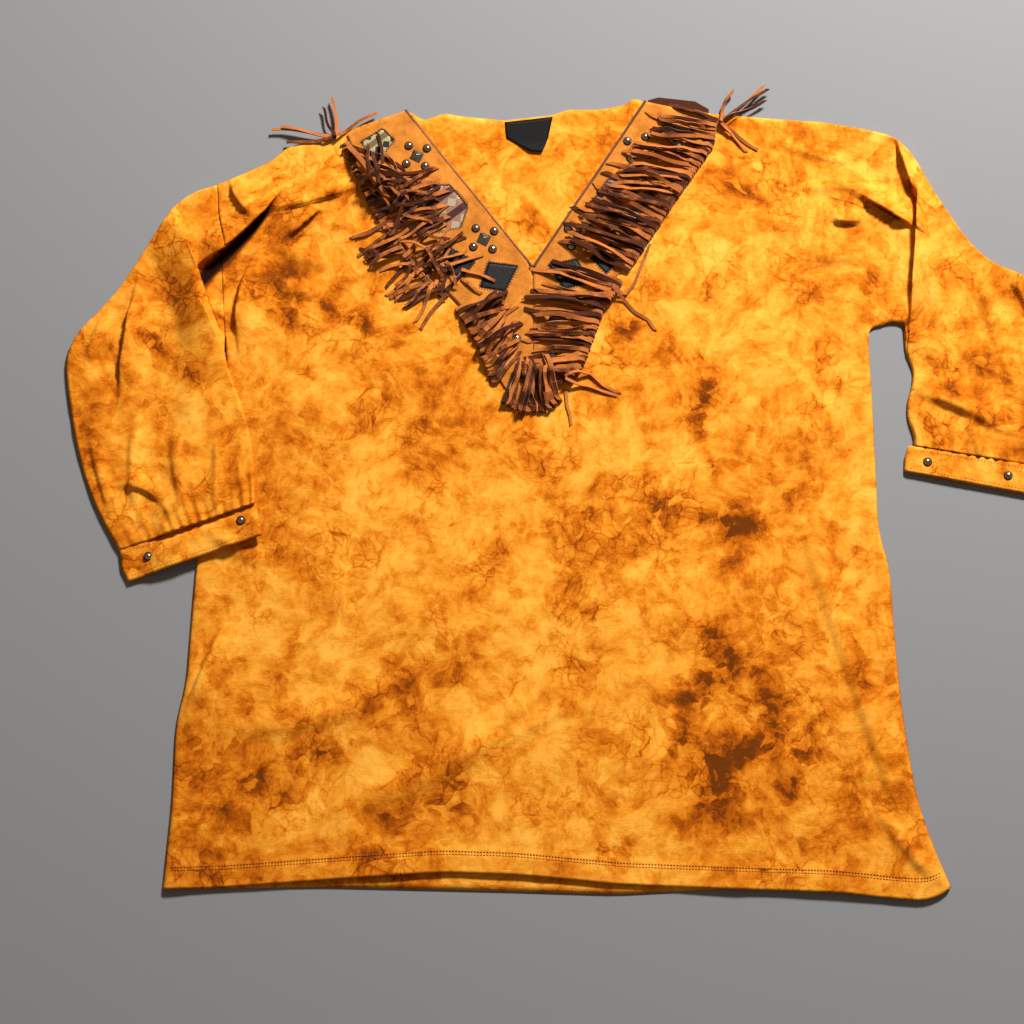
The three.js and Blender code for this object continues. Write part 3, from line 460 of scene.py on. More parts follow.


# %% [markdown]
# ## Where the dye pooled, and one painted shade
# Each row is a soft streak from a to b, so wide and so deep. Most are short and lie across each other,
# as dye that ran into the folds of a tied bundle does. The first row of the left shoulder is painted
# shade instead, in the hollow under the start of the left sleeve's fold.

# %% Dye streaks
DYE_AND_SHADE_STREAKS = table("a b wide depth", [
    # Ring of brown blotches low on the right, round a lighter middle
    ((150, -186), (158, -192), 20, 0.95),
    ((124, -212), (146, -204), 21, 0.92),
    ((112, -232), (117, -262), 23, 0.92),
    ((190, -225), (200, -250), 24, 0.95),
    ((170, -268), (146, -288), 24, 0.95),
    ((158, -285), (154, -306), 21, 0.9),
    ((146, -310), (140, -340), 18, 0.5),
    ((170, -270), (240, -284), 13, 0.86),
    ((228, -268), (217, -318), 12, 0.86),
    ((228, -268), (246, -240), 6, 0.6),
    ((158, -190), (138, -158), 9, 0.72),
    ((158, -190), (204, -158), 9, 0.72),
    ((200, -232), (230, -218), 11, 0.78),
    ((162, -290), (168, -344), 7, 0.6),
    ((156, -290), (122, -330), 8, 0.5),
    ((112, -262), (92, -286), 8, 0.5),
    ((240, -280), (276, -284), 8, 0.45),
    ((112, -232), (84, -226), 9, 0.6),
    # Middle right
    ((92, -36), (118, -30), 13, 0.8),
    ((118, -34), (150, -50), 14, 0.76),
    ((150, -48), (196, -54), 15, 0.84),
    ((170, -40), (164, -70), 12, 0.62),
    ((86, -22), (96, -52), 11, 0.8),
    # Star and its rays
    ((128, 50), (136, 56), 15, 0.94),
    ((130, 52), (112, 82), 8, 0.82),
    ((132, 54), (146, 96), 8, 0.82),
    ((134, 48), (152, -16), 7, 0.84),
    ((126, 50), (88, 48), 9, 0.76),
    ((138, 90), (136, 112), 10, 0.55),
    ((104, 112), (94, 130), 12, 0.55),
    # Below the yoke and to its right
    ((52, 152), (76, 154), 9, 0.7),
    ((62, 158), (66, 138), 7, 0.6),
    ((86, 198), (104, 190), 11, 0.74),
    ((150, 318), (180, 300), 9, 0.55),
    ((176, 304), (216, 274), 9, 0.82),
    ((190, 268), (222, 256), 8, 0.6),
    ((222, 300), (248, 312), 8, 0.45),
    ((32, 90), (34, 66), 12, 0.5),
    # Left shoulder and chest
    # Painted shade: this first row darkens the hollow under the start of the left sleeve's fold.
    ((-402, 292), (-398, 276), 8, 0.55),
    ((-354, 264), (-340, 264), 9, 0.6),
    ((-296, 276), (-215, 301), 7, 0.55),
    ((-334, 178), (-300, 168), 6, 0.55),
    ((-300, 168), (-274, 152), 9, 0.6),
    ((-300, 186), (-246, 176), 14, 0.64),
    ((-246, 176), (-208, 156), 14, 0.7),
    ((-206, 156), (-182, 136), 13, 0.6),
    ((-300, 214), (-262, 206), 10, 0.5),
    ((-165, 58), (-130, 56), 8, 0.5),
    ((-130, 56), (-98, 32), 7, 0.55),
    ((-168, -4), (-134, 10), 8, 0.5),
    ((-240, 8), (-228, 2), 22, 0.5),
    ((-160, 140), (-150, 134), 10, 0.4),
    # Broad soft bands
    ((-330, -300), (-262, -275), 34, 0.42),
    ((-250, -268), (-146, -204), 28, 0.4),
    ((-190, -336), (-118, -326), 30, 0.4),
    ((-118, -322), (-62, -288), 26, 0.36),
    ((-380, -380), (-60, -372), 42, 0.28),
    ((20, -380), (230, -370), 40, 0.22),
    ((290, -210), (330, -360), 36, 0.34),
    ((-350, -120), (-366, -260), 30, 0.34),
    ((-180, -120), (-150, -126), 32, 0.28),
    ((-330, 120), (-290, -20), 26, 0.3),
    ((-300, 262), (-210, 286), 26, 0.42),
    ((-310, 206), (-250, 230), 26, 0.36),
    ((-150, 100), (-110, 20), 34, 0.22),
    ((230, 330), (300, 352), 22, 0.34),
    ((210, 120), (290, 60), 40, 0.16),
    ((120, -160), (220, -150), 40, 0.16),
    ((-460, 150), (-430, 40), 34, 0.26),
    ((-400, 200), (-372, 120), 28, 0.4),
    ((-500, 120), (-478, 0), 24, 0.34),
    ((420, 220), (490, 180), 30, 0.3),
    ((360, 40), (490, 30), 24, 0.34),
    ((430, 130), (440, 60), 26, 0.26),
    # Lower left streaks
    ((-370, -250), (-330, -264), 20, 0.42),
    ((-330, -266), (-290, -304), 19, 0.46),
    ((-292, -304), (-246, -290), 20, 0.44),
    ((-250, -290), (-156, -240), 17, 0.42),
    ((-160, -210), (-132, -256), 18, 0.44),
    ((-132, -256), (-106, -318), 17, 0.42),
    ((-140, -334), (-110, -322), 18, 0.44),
    ((-254, -390), (-200, -372), 14, 0.5),
    ((-360, -310), (-340, -326), 14, 0.45),
    ((-120, -200), (-100, -180), 14, 0.45),
    ((4, -182), (38, -222), 7, 0.55),
    ((70, -300), (30, -330), 14, 0.35),
    # Sleeves
    ((-420, 140), (-388, 110), 15, 0.62),
    ((-372, 96), (-356, 70), 14, 0.6),
    ((-402, 176), (-392, 158), 14, 0.25),
    ((-480, 60), (-468, 20), 12, 0.45),
    ((-400, 20), (-380, -8), 14, 0.4),
    ((-340, 0), (-326, -24), 12, 0.45),
    ((352, 156), (398, 152), 11, 0.65),
    ((410, 120), (446, 96), 12, 0.6),
    ((372, 96), (392, 80), 12, 0.55),
    ((430, 60), (470, 50), 12, 0.5),
    ((360, 50), (380, 34), 12, 0.5),
    ((478, 170), (490, 140), 12, 0.5),
])


FULL_STREAK = 0.9  # what one streak of depth 1 leaves


def dye_and_shade_at(x, y):
    """How deep the dye lies at each place, from 0 to about 1; one streak is painted shade, not dye."""
    x, y = np.asarray(x, float), np.asarray(y, float)
    light = np.ones(x.shape)
    for row in DYE_AND_SHADE_STREAKS:
        a, b = np.array(row["a"], float), np.array(row["b"], float)
        away, _, _ = near_line([a, b], x, y)
        light *= 1 - row["depth"] * FULL_STREAK * np.exp(-((away / row["wide"]) ** 2))
    return 1 - light


OPEN_LEAN = 1.5  # mm of lean up to which a fold gets no painted shade at its foot
DARK_LEAN = 5  # mm more, after which the painted shade at its foot is at full strength


def trough_shade(x, y):
    """How much painted shade each place gets in the hollow at the steep foot of a leaning fold."""
    deepest_shade = np.zeros(np.shape(x))
    for fold in FOLDS:
        if "lean" in fold:
            away, right, along = near_line(curve_points(fold), x, y)
            steep = right == (fold["right"] < fold["left"])
            t = away / min(fold["right"], fold["left"]) / (1 + fold.get("widens", 0) * along)
            band = smooth(t / 0.5) * (1 - smooth((t - 0.8) / 0.5)) * smooth(along / FOLD_TAPER)
            if "widens" not in fold:
                band *= smooth((1 - along) / FOLD_TAPER)
            band *= min(1, (fold["lean"] - OPEN_LEAN) / DARK_LEAN)
            deepest_shade = np.maximum(deepest_shade, np.where(steep, band, 0))
    return deepest_shade * body_side(x, y)


print(len(DYE_AND_SHADE_STREAKS), "dye streaks")

# %% [markdown]
# ## Making pieces
# A piece is drawn as a bmesh in plan millimetres. Finishing it moves it on to the frame, gives it its
# materials, says which body it rides on and hides the solids it stands for.
# A cloth shell is drawn as its upper face only, and Solidify gives it the wall underneath.

# %% Piece helpers
def finish_piece(bm, name, finishes, slot, nodes=(), sharp=None):
    bmesh.ops.transform(bm, matrix=TO_FRAME, verts=bm.verts)
    mesh = bpy.data.meshes.new(name)
    bm.to_mesh(mesh)
    bm.free()
    mesh.shade_smooth()
    if sharp:
        mesh.set_sharp_from_angle(angle=radians(sharp))
    piece = bpy.data.objects.new(name, mesh)
    bpy.context.scene.collection.objects.link(piece)
    for finish in finishes:
        mesh.materials.append(finish)
    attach(piece, "root")
    if nodes:
        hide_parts(*nodes)
    print(name, len(mesh.polygons), "faces")
    return piece


def wall(piece, thickness, offset=-1, rim=0):
    """Gives a drawn face its thickness, below it or above it."""
    solid = piece.modifiers.new("wall", "SOLIDIFY")
    solid.thickness = thickness * MM
    solid.offset = offset
    solid.material_offset_rim = rim
    return piece


def grid_of(columns, rows):
    """A grid, with the shares of each of its points across and up."""
    bm = bmesh.new()
    bmesh.ops.create_grid(bm, x_segments=columns, y_segments=rows, size=1)
    across = np.array([(v.co.x + 1) / 2 for v in bm.verts])
    up = np.array([(v.co.y + 1) / 2 for v in bm.verts])
    return bm, across, up


def put(bm, x, y, z):
    for v, px, py, pz in zip(bm.verts, x, y, z):
        v.co = (px, py, pz)


def stain_and_shade_cloth(bm, x, y):
    """Stores the dye and the painted shade of the fold troughs on the points of a cloth: x and y are where
    they lay before the folds leant.
    """
    layer = bm.verts.layers.float.new("dye")
    # Real dye up to 1, and past it the painted shade of the fold troughs.
    depth = np.maximum(dye_and_shade_at(x, y), TROUGH_SHADE * trough_shade(x, y))
    for v, d in zip(bm.verts, depth):
        v[layer] = d


# %% [markdown]
# ## Front panel
# The front is one piece of jersey with a V cut into it. A grid is laid over the whole outline, lifted
# by the folds and waves, rolled down at the side seams and shoulders, and then the V is cut with two
# bisecting planes and the faces between them are taken away. The hem is turned up 20 mm and stitched
# twice, so it stands a little proud, with a groove under the stitches.

# %% Front
JERSEY = 1.2
SUEDE = 1.4
FRONT_TOP = 2.7
YOKE_Z = 3.0
YOKE_TOP = YOKE_Z + SUEDE
HEM = 19  # mm from the front's edge to the stitches
ROLL = 7  # mm over which a side seam rolls down
NO_ROLL = 99  # mm of room at which nothing rolls
BEYOND = 500  # a height past all of the cloth
LAP = 1.4  # mm by which the front laps over the start of a sleeve
EDGE_Z = 1.5


def crowded(share, amount):
    """Shares drawn towards both ends, where the cloth turns."""
    return share - amount * np.sin(2 * pi * share) / (2 * pi)


def panel_places(across, up, hem, top):
    """Lays shares of a panel between its hem, its top and the two side edges."""
    low = read_line(hem, hem[0][0] + (hem[-1][0] - hem[0][0]) * across, 12)
    high = read_line(top, top[0][0] + (top[-1][0] - top[0][0]) * across, 3)
    y = low + (high - low) * up
    y_left = hem[0][1] + (top[0][1] - hem[0][1]) * up
    y_right = hem[-1][1] + (top[-1][1] - hem[-1][1]) * up
    left, right = left_edge(y_left), right_edge(y_right)
    return left + (right - left) * across, y


def rolled(away, reach):
    """1 inside, falling as a quarter circle to 0 at an edge."""
    t = 1 - np.clip(away / reach, 0, 1)
    return np.sqrt(np.clip(1 - t * t, 0, 1))


def front_height(x, y):
    """Height of the front's upper face, away from its edges."""
    return FRONT_TOP + relief("body", x, y) + waviness(x, y)


def hem_lift(x, above):
    """The turned-up hem stands proud, dips under its stitches and waves a little."""
    turned_up = 0.7 * (1 - smooth((above - HEM - 2) / 3))
    dip = 0.5 * np.exp(-(((above - HEM) / 1.6) ** 2))
    wave = 0.8 * (1 - smooth(above / 40)) * np.sin(x / 23) * np.sin(x / 61 + 1)
    return turned_up - dip + wave


def inside(outline, x, y):
    """Whether a place lies in an outline, or for arrays, which places do."""
    odd = np.zeros(np.shape(x), bool)
    for (px, py), (qx, qy) in zip(outline, outline[1:] + outline[:1]):
        if py != qy:
            crosses = (py > y) != (qy > y)
            odd ^= crosses & (x < (qx - px) * (y - py) / (qy - py) + px)
    return odd


def slit(bm, faces, p, q):
    """Cuts these faces along the line through two points of the plan."""
    run = q - p
    edges = {e for f in faces for e in f.edges}
    verts = {v for f in faces for v in f.verts}
    geom = faces + list(edges) + list(verts)
    bmesh.ops.bisect_plane(bm, geom=geom, dist=0.01, plane_co=(*p, 0), plane_no=(run.y, -run.x, 0))


def take_out(bm, outline):
    """Deletes the faces that lie in an outline."""
    centres = [(f, f.calc_center_median()) for f in bm.faces]
    hole = [f for f, c in centres if inside(outline, c.x, c.y)]
    bmesh.ops.delete(bm, geom=hole, context="FACES")


def front_panel():
    bm, across, up = grid_of(190, 200)
    x, y = panel_places(crowded(across, 0.45), crowded(up, 0.3), FRONT_HEM, LEFT_SHOULDER + RIGHT_SHOULDER)
    z = front_height(x, y) + hem_lift(x, y - read_line(FRONT_HEM, x, 12))
    left_room = x - left_edge(y) + NO_ROLL * smooth((y - ARMHOLE["left"] + 12) / 12)
    right_room = right_edge(y) - x + NO_ROLL * smooth((y - ARMHOLE["right"] + 12) / 12)
    side = rolled(np.minimum(left_room, right_room), ROLL)
    shoulder = rolled(read_line(LEFT_SHOULDER + RIGHT_SHOULDER, x, 3) - y, 5)
    z = EDGE_Z + (z - EDGE_Z) * side * (0.35 + 0.65 * shoulder)
    lap = np.zeros(x.shape)
    for name, edge, way in (("left", x - left_edge(y), -1), ("right", right_edge(y) - x, 1)):
        z -= np.where(y >= ARMHOLE[name], 0.25 * np.exp(-((edge / 1.6) ** 2)), 0)
        lap += np.where(y >= ARMHOLE[name], way * LAP * (1 - smooth(edge / 6)), 0)
    across, up = lean("body", x, y)
    put(bm, x + lap + across, y + up, np.maximum(z, EDGE_Z))
    stain_and_shade_cloth(bm, x, y)
    for corner in (NECK_LEFT, NECK_RIGHT):
        near = [f for f in bm.faces if f.calc_center_median().y > NECK_POINT[1] - 10]
        slit(bm, near, Vector(corner), Vector(NECK_POINT))
    notch = [NECK_LEFT, NECK_POINT, NECK_RIGHT, (NECK_RIGHT[0], BEYOND), (NECK_LEFT[0], BEYOND)]
    take_out(bm, notch)
    return finish_piece(bm, "front_panel", [jersey], "jersey", ["front"])


front = wall(front_panel(), JERSEY)

# %% [markdown]
# ## Back panel
# The back lies flat on the floor. It shows inside the V, where its neck edge is turned over 8 mm, and
# as a narrow strip below the front's hem. It is a grid as well, pulled in a little at the sides so
# that the front rolls over it.

# %% Back
NECK_RIM = 8
BACK_TOP = LEFT_SHOULDER[:-1] + [NECK_LEFT] + BACK_NECK + RIGHT_SHOULDER
INSET = 3


def back_rise(x, y):
    """The back lifts a little where nothing lies on it, inside the neck."""
    room = np.minimum(y - NECK_POINT[1], 60 - np.abs(x + 40) * 0.4) / 40
    return 0.5 * smooth(room) * (waviness(x, y) - 0.6)


def back_panel():
    bm, across, up = grid_of(120, 130)
    x, y = panel_places(across, up, BACK_HEM, BACK_TOP)
    middle = (left_edge(y) + right_edge(y)) / 2
    half = (right_edge(y) - left_edge(y)) / 2
    x = middle + (x - middle) * (half - INSET) / half
    z = JERSEY + back_rise(x, y)
    below_neck = read_line(BACK_TOP, x, 3) - y
    in_neck = (x > NECK_LEFT[0] + 6) & (x < NECK_RIGHT[0] - 6)
    rim = 1 - smooth((below_neck - NECK_RIM) / 1.5)
    z += np.where(in_neck, 0.7 * rim * rolled(below_neck + 0.6, 3), 0)
    put(bm, x, y, z)
    stain_and_shade_cloth(bm, x, y)
    return finish_piece(bm, "back_panel", [jersey], "jersey", ["back"])


back = wall(back_panel(), JERSEY)

# %% [markdown]
# ## Sleeves and cuffs
# A sleeve is a flattened tube. A grid is wrapped round it, the first half of the turn over the top and
# the second half back underneath, and its edges round over as folded cloth does. The left forearm
# lies on the body, so its underside climbs over the body's edge. The last few centimetres above a
# cuff are gathered into it.

# %% Tubes of cloth
LEFT_SLEEVE = table("inner outer", [
    ((-345.9, 143), (-358.5, 305.6)),
    ((-346.5, 140), (-373, 301)),
    ((-347, 136), (-389, 297)),
    ((-347, 131), (-404, 288)),
    ((-347, 126), (-412, 270)),
    ((-346.5, 121), (-421, 252)),
    ((-344, 115), (-437, 228)),
    ((-341, 105), (-460, 186)),
    ((-337, 96), (-491, 156)),
    ((-332, 84), (-509, 132)),
    ((-326, 68), (-506, 100)),
    ((-320, 48), (-500, 64)),
    ((-315, 24), (-489, 14)),
    ((-311, -4), (-471, -34)),
    ((-310, -31), (-445, -78)),
])
RIGHT_SLEEVE = table("inner outer", [
    ((308.4, 145), (313.4, 365.6)),
    ((311, 151), (318, 365)),
    ((317, 155.5), (325, 363.5)),
    ((328, 158), (333, 362)),
    ((343, 158), (350, 356)),
    ((345, 156), (361, 344)),
    ((345, 150), (372, 316)),
    ((345, 138), (397, 273)),
    ((345, 126), (424, 230)),
    ((351, 112), (454, 213)),
    ((354, 98), (484, 204)),
    ((347, 84), (504, 188)),
    ((344, 68), (509, 158)),
    ((345, 54), (507, 112)),
    ((350, 41), (501, 56)),
    ((350, 29), (490, 4)),
])
LEFT_CUFF = table("inner outer", [
    ((-310, -30.5), (-444.8, -77.7)),
    ((-305, -48), (-442, -96)),
    ((-302, -63), (-435, -109)),
])
RIGHT_CUFF = table("inner outer", [
    ((344, 28.6), (489.7, 4.6)),
    ((340, 17), (487, -9)),
    ((339, 3), (486, -25)),
])
CLIMB_START, CLIMB_END = -56, -30  # mm from the body's edge, between which the left sleeve climbs
CUFF_END = (-303, -56)  # the left cuff's inner end stands off the body
CUFF_LIFT = 5  # mm by which it does
CUFF_REACH = 45
GATHERS = 12
CUFF_HEIGHT = 3.2
OVER = 0.65  # share of a tube's faces that lie on its upper side


def cuff_lift(x, y):
    away = (x - CUFF_END[0]) ** 2 + (y - CUFF_END[1]) ** 2
    return CUFF_LIFT * np.exp(-(away / CUFF_REACH ** 2))


def underside(side, x, y, along):
    """Height of the underside of a sleeve, on the floor or on the body."""
    if side == "right":
        return np.zeros(np.shape(x))
    climb = smooth((x - left_edge(y) - CLIMB_START) / (CLIMB_END - CLIMB_START))
    rides = smooth((along - 0.05) / 0.3)
    return climb * rides * (YOKE_Z + 0.4 + relief("body", x, y) + waviness(x, y)) + cuff_lift(x, y)


def tube_places(sections, along, across):
    """Lays shares of a tube between its inner and outer lines, with the corners eased."""
    inner = np.array([s["inner"] for s in sections], float)
    outer = np.array([s["outer"] for s in sections], float)
    middle = (inner + outer) / 2
    steps = np.hypot(*np.diff(middle, axis=0).T)
    keys = np.concatenate([[0], np.cumsum(steps)]) / steps.sum()
    eased = 0.05 if len(sections) > 4 else 0
    lines = [
        read_line(list(zip(keys, column)), along, eased) for column in (*inner.T, *outer.T)
    ]
    x = lines[0] + (lines[2] - lines[0]) * across
    y = lines[1] + (lines[3] - lines[1]) * across
    width = np.hypot(lines[2] - lines[0], lines[3] - lines[1])
    return x, y, width


def from_armhole(side, x, y, along):
    """0 at the armhole seam, 1 once the sleeve's own folds have taken over."""
    armhole = left_edge(y) if side == "left" else right_edge(y)
    return smooth((np.abs(x - armhole) - 2) / 30 + np.where(along > 0.15, 1, 0))


def tube(name, side, sections, size, height, slot, node, top_extra):
    """A flattened tube of cloth: size is its faces along and round it."""
    bm, along, turn = grid_of(*size)
    over = turn < OVER
    share = np.where(over, turn / OVER, (1 - turn) / (1 - OVER))
    across = (1 - np.cos(pi * share)) / 2
    x, y, width = tube_places(sections, along, across)
    low = underside(side, x, y, along)
    full = height + top_extra(x, y, along, across)
    room = np.minimum(across, 1 - across) * width
    edge = rolled(room, 4)
    middle = low + height / 2
    z = np.where(over, middle + (full - height / 2) * edge, middle - height / 2 * edge)
    stain_and_shade_cloth(bm, x, y)
    if name.startswith("sleeve"):
        seam = from_armhole(side, x, y, along)
        body, sleeve = lean("body", x, y), lean("sleeve", x, y)
        x = x + np.where(over, body[0] * (1 - seam) + sleeve[0] * seam, 0)
        y = y + np.where(over, body[1] * (1 - seam) + sleeve[1] * seam, 0)
    put(bm, x, y, z)
    bmesh.ops.remove_doubles(bm, verts=bm.verts, dist=0.02)
    bmesh.ops.recalc_face_normals(bm, faces=bm.faces)
    return wall(finish_piece(bm, name, [jersey], slot, [node]), 1.0)


def sleeve_top(side):
    armhole = left_edge if side == "left" else right_edge

    def extra(x, y, along, across):
        seam = from_armhole(side, x, y, along)
        folds = relief("body", x, y) * (1 - seam) + relief("sleeve", x, y) * seam
        sway = 2.2 * np.sin(along * 7 + across * 11)
        turns = across * GATHERS * pi
        gather = 0.5 + 0.3 * np.sin(2 * turns + sway) + 0.2 * np.sin(2.7 * turns)
        gather *= smooth((along - 0.76) / 0.22) * (0.35 + 0.65 * smooth((0.85 - across) / 0.3))
        under_lap = -0.7 * np.exp(-(((x - armhole(y)) / 2.4) ** 2)) * (along < 0.1)
        return folds + (1 + 0.3 * seam) * waviness(x, y) + 2.2 * gather + under_lap
    return extra


def cuff_top(x, y, along, across):
    return 1.4 + 0.35 * waviness(x, y)


def sleeve(side, sections, size):
    name = f"sleeve_{side}"
    return tube(f"{name}_tube", side, sections, size, FRONT_TOP, "jersey", name, sleeve_top(side))


def cuff(side, sections):
    name = f"cuff_{side}"
    return tube(f"{name}_band", side, sections, (14, 150), CUFF_HEIGHT, "cuff", name, cuff_top)


sleeve_left = sleeve("left", LEFT_SLEEVE, (150, 200))
sleeve_right = sleeve("right", RIGHT_SLEEVE, (140, 200))
cuff_left = cuff("left", LEFT_CUFF)
cuff_right = cuff("right", RIGHT_CUFF)

# %% [markdown]
# ## Suede
# Split cowhide brushed to a nap: no gloss, a soft sheen where the nap catches the light, and small
# lighter and darker clouds where it was stroked. The band is dyed the cloth's own orange, the fringe
# is chestnut with paler raw edges.

# %% Suede finishes
def suede_finish(name, pale, dark, tone_from=None):
    """Brushed suede between two colours. A piece may carry an attribute that sets each strand's tone."""
    finish, tree, shader = new_finish(
        name, {"Roughness": 0.95, "Specular IOR Level": 0.15, "Sheen Weight": 0.12, "Sheen Roughness": 0.5}
    )
    place = add(tree, "TexCoord", {}, out="Object")
    cloud = add(tree, "TexNoise", {"Vector": place, "Scale": every(14), "Detail": 5, "Roughness": 0.6})
    nap = add(tree, "TexNoise", {"Vector": place, "Scale": every(1.1), "Detail": 2})
    share = add(tree, "Math", {0: nap, 1: 0.35, 2: cloud}, operation="MULTIPLY_ADD")
    if tone_from:
        strand = add(tree, "Attribute", {}, out="Fac", attribute_name=tone_from)
        share = add(tree, "Math", {0: strand, 1: 0.75, 2: share}, operation="MULTIPLY_ADD")
        share = add(tree, "Math", {0: share, 1: -0.36}, operation="ADD")
    share = add(tree, "MapRange", {"Value": share, 1: 0.42, 2: 0.95}, **SOFTLY)
    tone = add(tree, "Mix", {0: share, 6: colour(dark), 7: colour(pale)}, **BETWEEN)
    tree.links.new(tone, shader.inputs["Base Color"])
    bump = add(tree, "Bump", {"Height": nap, "Strength": 0.45, "Distance": 0.0004}, out="Normal")
    tree.links.new(bump, shader.inputs["Normal"])
    return finish


band_suede = suede_finish("brushed_suede_orange", "#D08430", "#A86018")
fringe_suede = suede_finish("brushed_suede_chestnut", "#B0642C", "#421C0A", "tone")
cut_edge = suede_finish("raw_suede_edge", "#B8866A", "#7A4830")

# %% [markdown]
# ## Yoke
# The band is cut in two halves that meet under the point of the V. Each half is a grid laid between
# the neck edge and the outer edge. The windows are cut with a bisecting plane along each side of their
# outline, and the faces inside are deleted, so the edges are as clean as a knife leaves them.

# %% Yoke halves
RIGHT_YOKE = table("inner outer", [
    ((84, 395.6), (151, 381)),
    ((62, 362), (147, 350)),
    ((40, 329), (128, 322)),
    ((18, 295), (106, 290)),
    ((-4, 261), (84, 255)),
    ((-32.8, 217), (56, 211)),
    ((-32.8, 204), (44, 190)),
    ((-32.8, 178), (31, 171)),
    ((-32.8, 150), (20, 141)),
    ((-32.8, 120), (10, 115)),
    ((-32.8, 94), (-8, 86)),
    ((-32.8, 75), (-22, 72)),
])
LEFT_YOKE = table("inner outer", [
    ((-165, 385.6), (-226, 359)),
    ((-143, 358), (-211, 322)),
    ((-120, 329), (-194, 284)),
    ((-97, 299), (-172, 247)),
    ((-74, 270), (-148, 214)),
    ((-33.2, 217), (-118, 186)),
    ((-33.2, 204), (-106, 175)),
    ((-33.2, 178), (-93, 155)),
    ((-33.2, 150), (-83, 138)),
    ((-33.2, 120), (-75, 116)),
    ((-33.2, 94), (-62, 84)),
    ((-33.2, 75), (-46, 72)),
])
# Corners of the windows: mm down the neck edge, and mm out from it
WINDOWS = table("name slot points", [
    ("light_woven", "light_woven", [(2, 32), (20, 30), (28, 58), (0, 60)]),
    ("brown_woven", "brown_woven", [(80, 34), (94, 14), (124, 14), (138, 34), (124, 62), (94, 62)]),
    ("dark_side", "dark_leather", [(142, 58), (176, 44), (182, 68), (156, 72)]),
    ("dark_neck", "dark_leather", [(184, 34), (206, 12), (220, 40), (200, 58)]),
])
HALVES = {
    "left": {"sections": LEFT_YOKE, "corner": NECK_LEFT, "side": -1},
    "right": {"sections": RIGHT_YOKE, "corner": NECK_RIGHT, "side": 1},
}


def arm_axes(half):
    """Directions down the neck edge and out from it."""
    run = Vector(NECK_POINT) - Vector(half["corner"])
    along = run.normalized()
    return along, Vector((-along.y, along.x)) * half["side"]


def on_arm(half, place):
    along, away = arm_axes(half)
    return Vector(half["corner"]) + along * place[0] + away * place[1]


def window_corners(half, window):
    """The corners of a window on the plan, and their middle."""
    corners = [on_arm(half, p) for p in window["points"]]
    return corners, sum(corners, Vector((0, 0))) / len(corners)


def yoke_half(name, half):
    bm, across, down = grid_of(26, 110)
    if half["side"] < 0:
        across = 1 - across
    x, y, _ = tube_places(half["sections"], 1 - down, across)
    put(bm, x, y, YOKE_TOP + waviness(x, y) + relief("body", x, y))
    for window in WINDOWS:
        corners, middle = window_corners(half, window)
        reach = max((c - middle).length for c in corners) + 4
        for p, q in zip(corners, corners[1:] + corners[:1]):
            near = [f for f in bm.faces if (f.calc_center_median().xy - middle).length < reach]
            slit(bm, near, p, q)
        take_out(bm, [tuple(c) for c in corners])
    return wall(finish_piece(bm, f"yoke_{name}_band", [band_suede], "suede", [f"yoke_{name}"]), SUEDE)


for name, half in HALVES.items():
    band = yoke_half(name, half)

# %% [markdown]
# ## What shows in the windows
# Two windows of each half are backed with hand-woven cloth and two with black leather. The cloths are a
# plain stripe-and-lozenge weave: their pattern runs down the neck edge, so each backing carries a UV
# map measured along that edge in metres, and the threads are drawn from it.

# %% Woven and leather finishes
THREAD = 1.1  # mm between threads, about twice the real pitch so that they show


def woven_finish(name, ground, stripe, figure, repeat):
    """A plain weave in stripes, with a row of lozenges along every other one."""
    finish, tree, shader = new_finish(
        name, {"Roughness": 0.9, "Specular IOR Level": 0.2, "Sheen Weight": 0.2}
    )
    place = add(tree, "UVMap", {}, uv_map="weave")
    down = add(tree, "SeparateXYZ", {0: place}, out="X")
    out = add(tree, "SeparateXYZ", {0: place}, out="Y")
    fold_down = add(tree, "Math", {0: down, 1: repeat * MM}, operation="PINGPONG")
    fold_out = add(tree, "Math", {0: out, 1: repeat * 0.55 * MM}, operation="PINGPONG")
    lozenge = add(tree, "Math", {0: fold_down, 1: fold_out}, operation="ADD")
    figure_share = add(tree, "Math", {0: lozenge, 1: repeat * 0.52 * MM}, operation="LESS_THAN")
    band = add(tree, "Math", {0: fold_down, 1: repeat * 0.66 * MM}, operation="GREATER_THAN")
    tone = add(tree, "Mix", {0: band, 6: colour(ground), 7: colour(stripe)}, **BETWEEN)
    tone = add(tree, "Mix", {0: figure_share, 6: tone, 7: colour(figure)}, **BETWEEN)
    threads = []
    for way in (down, out):
        turns = add(tree, "Math", {0: way, 1: 2 * pi / (THREAD * MM)}, operation="MULTIPLY")
        threads.append(add(tree, "Math", {0: turns}, operation="SINE"))
    weave = add(tree, "Math", {0: threads[0], 1: threads[1]}, operation="MULTIPLY")
    shade = add(tree, "MapRange", {"Value": weave, 1: -1.0, 2: 1.0, 3: 0.6, 4: 1.12})
    tone = add(tree, "Mix", {0: 1.0, 6: tone, 7: shade}, **SHADED)
    tree.links.new(tone, shader.inputs["Base Color"])
    bump = add(tree, "Bump", {"Height": weave, "Strength": 0.6, "Distance": 0.0004}, out="Normal")
    tree.links.new(bump, shader.inputs["Normal"])
    return finish


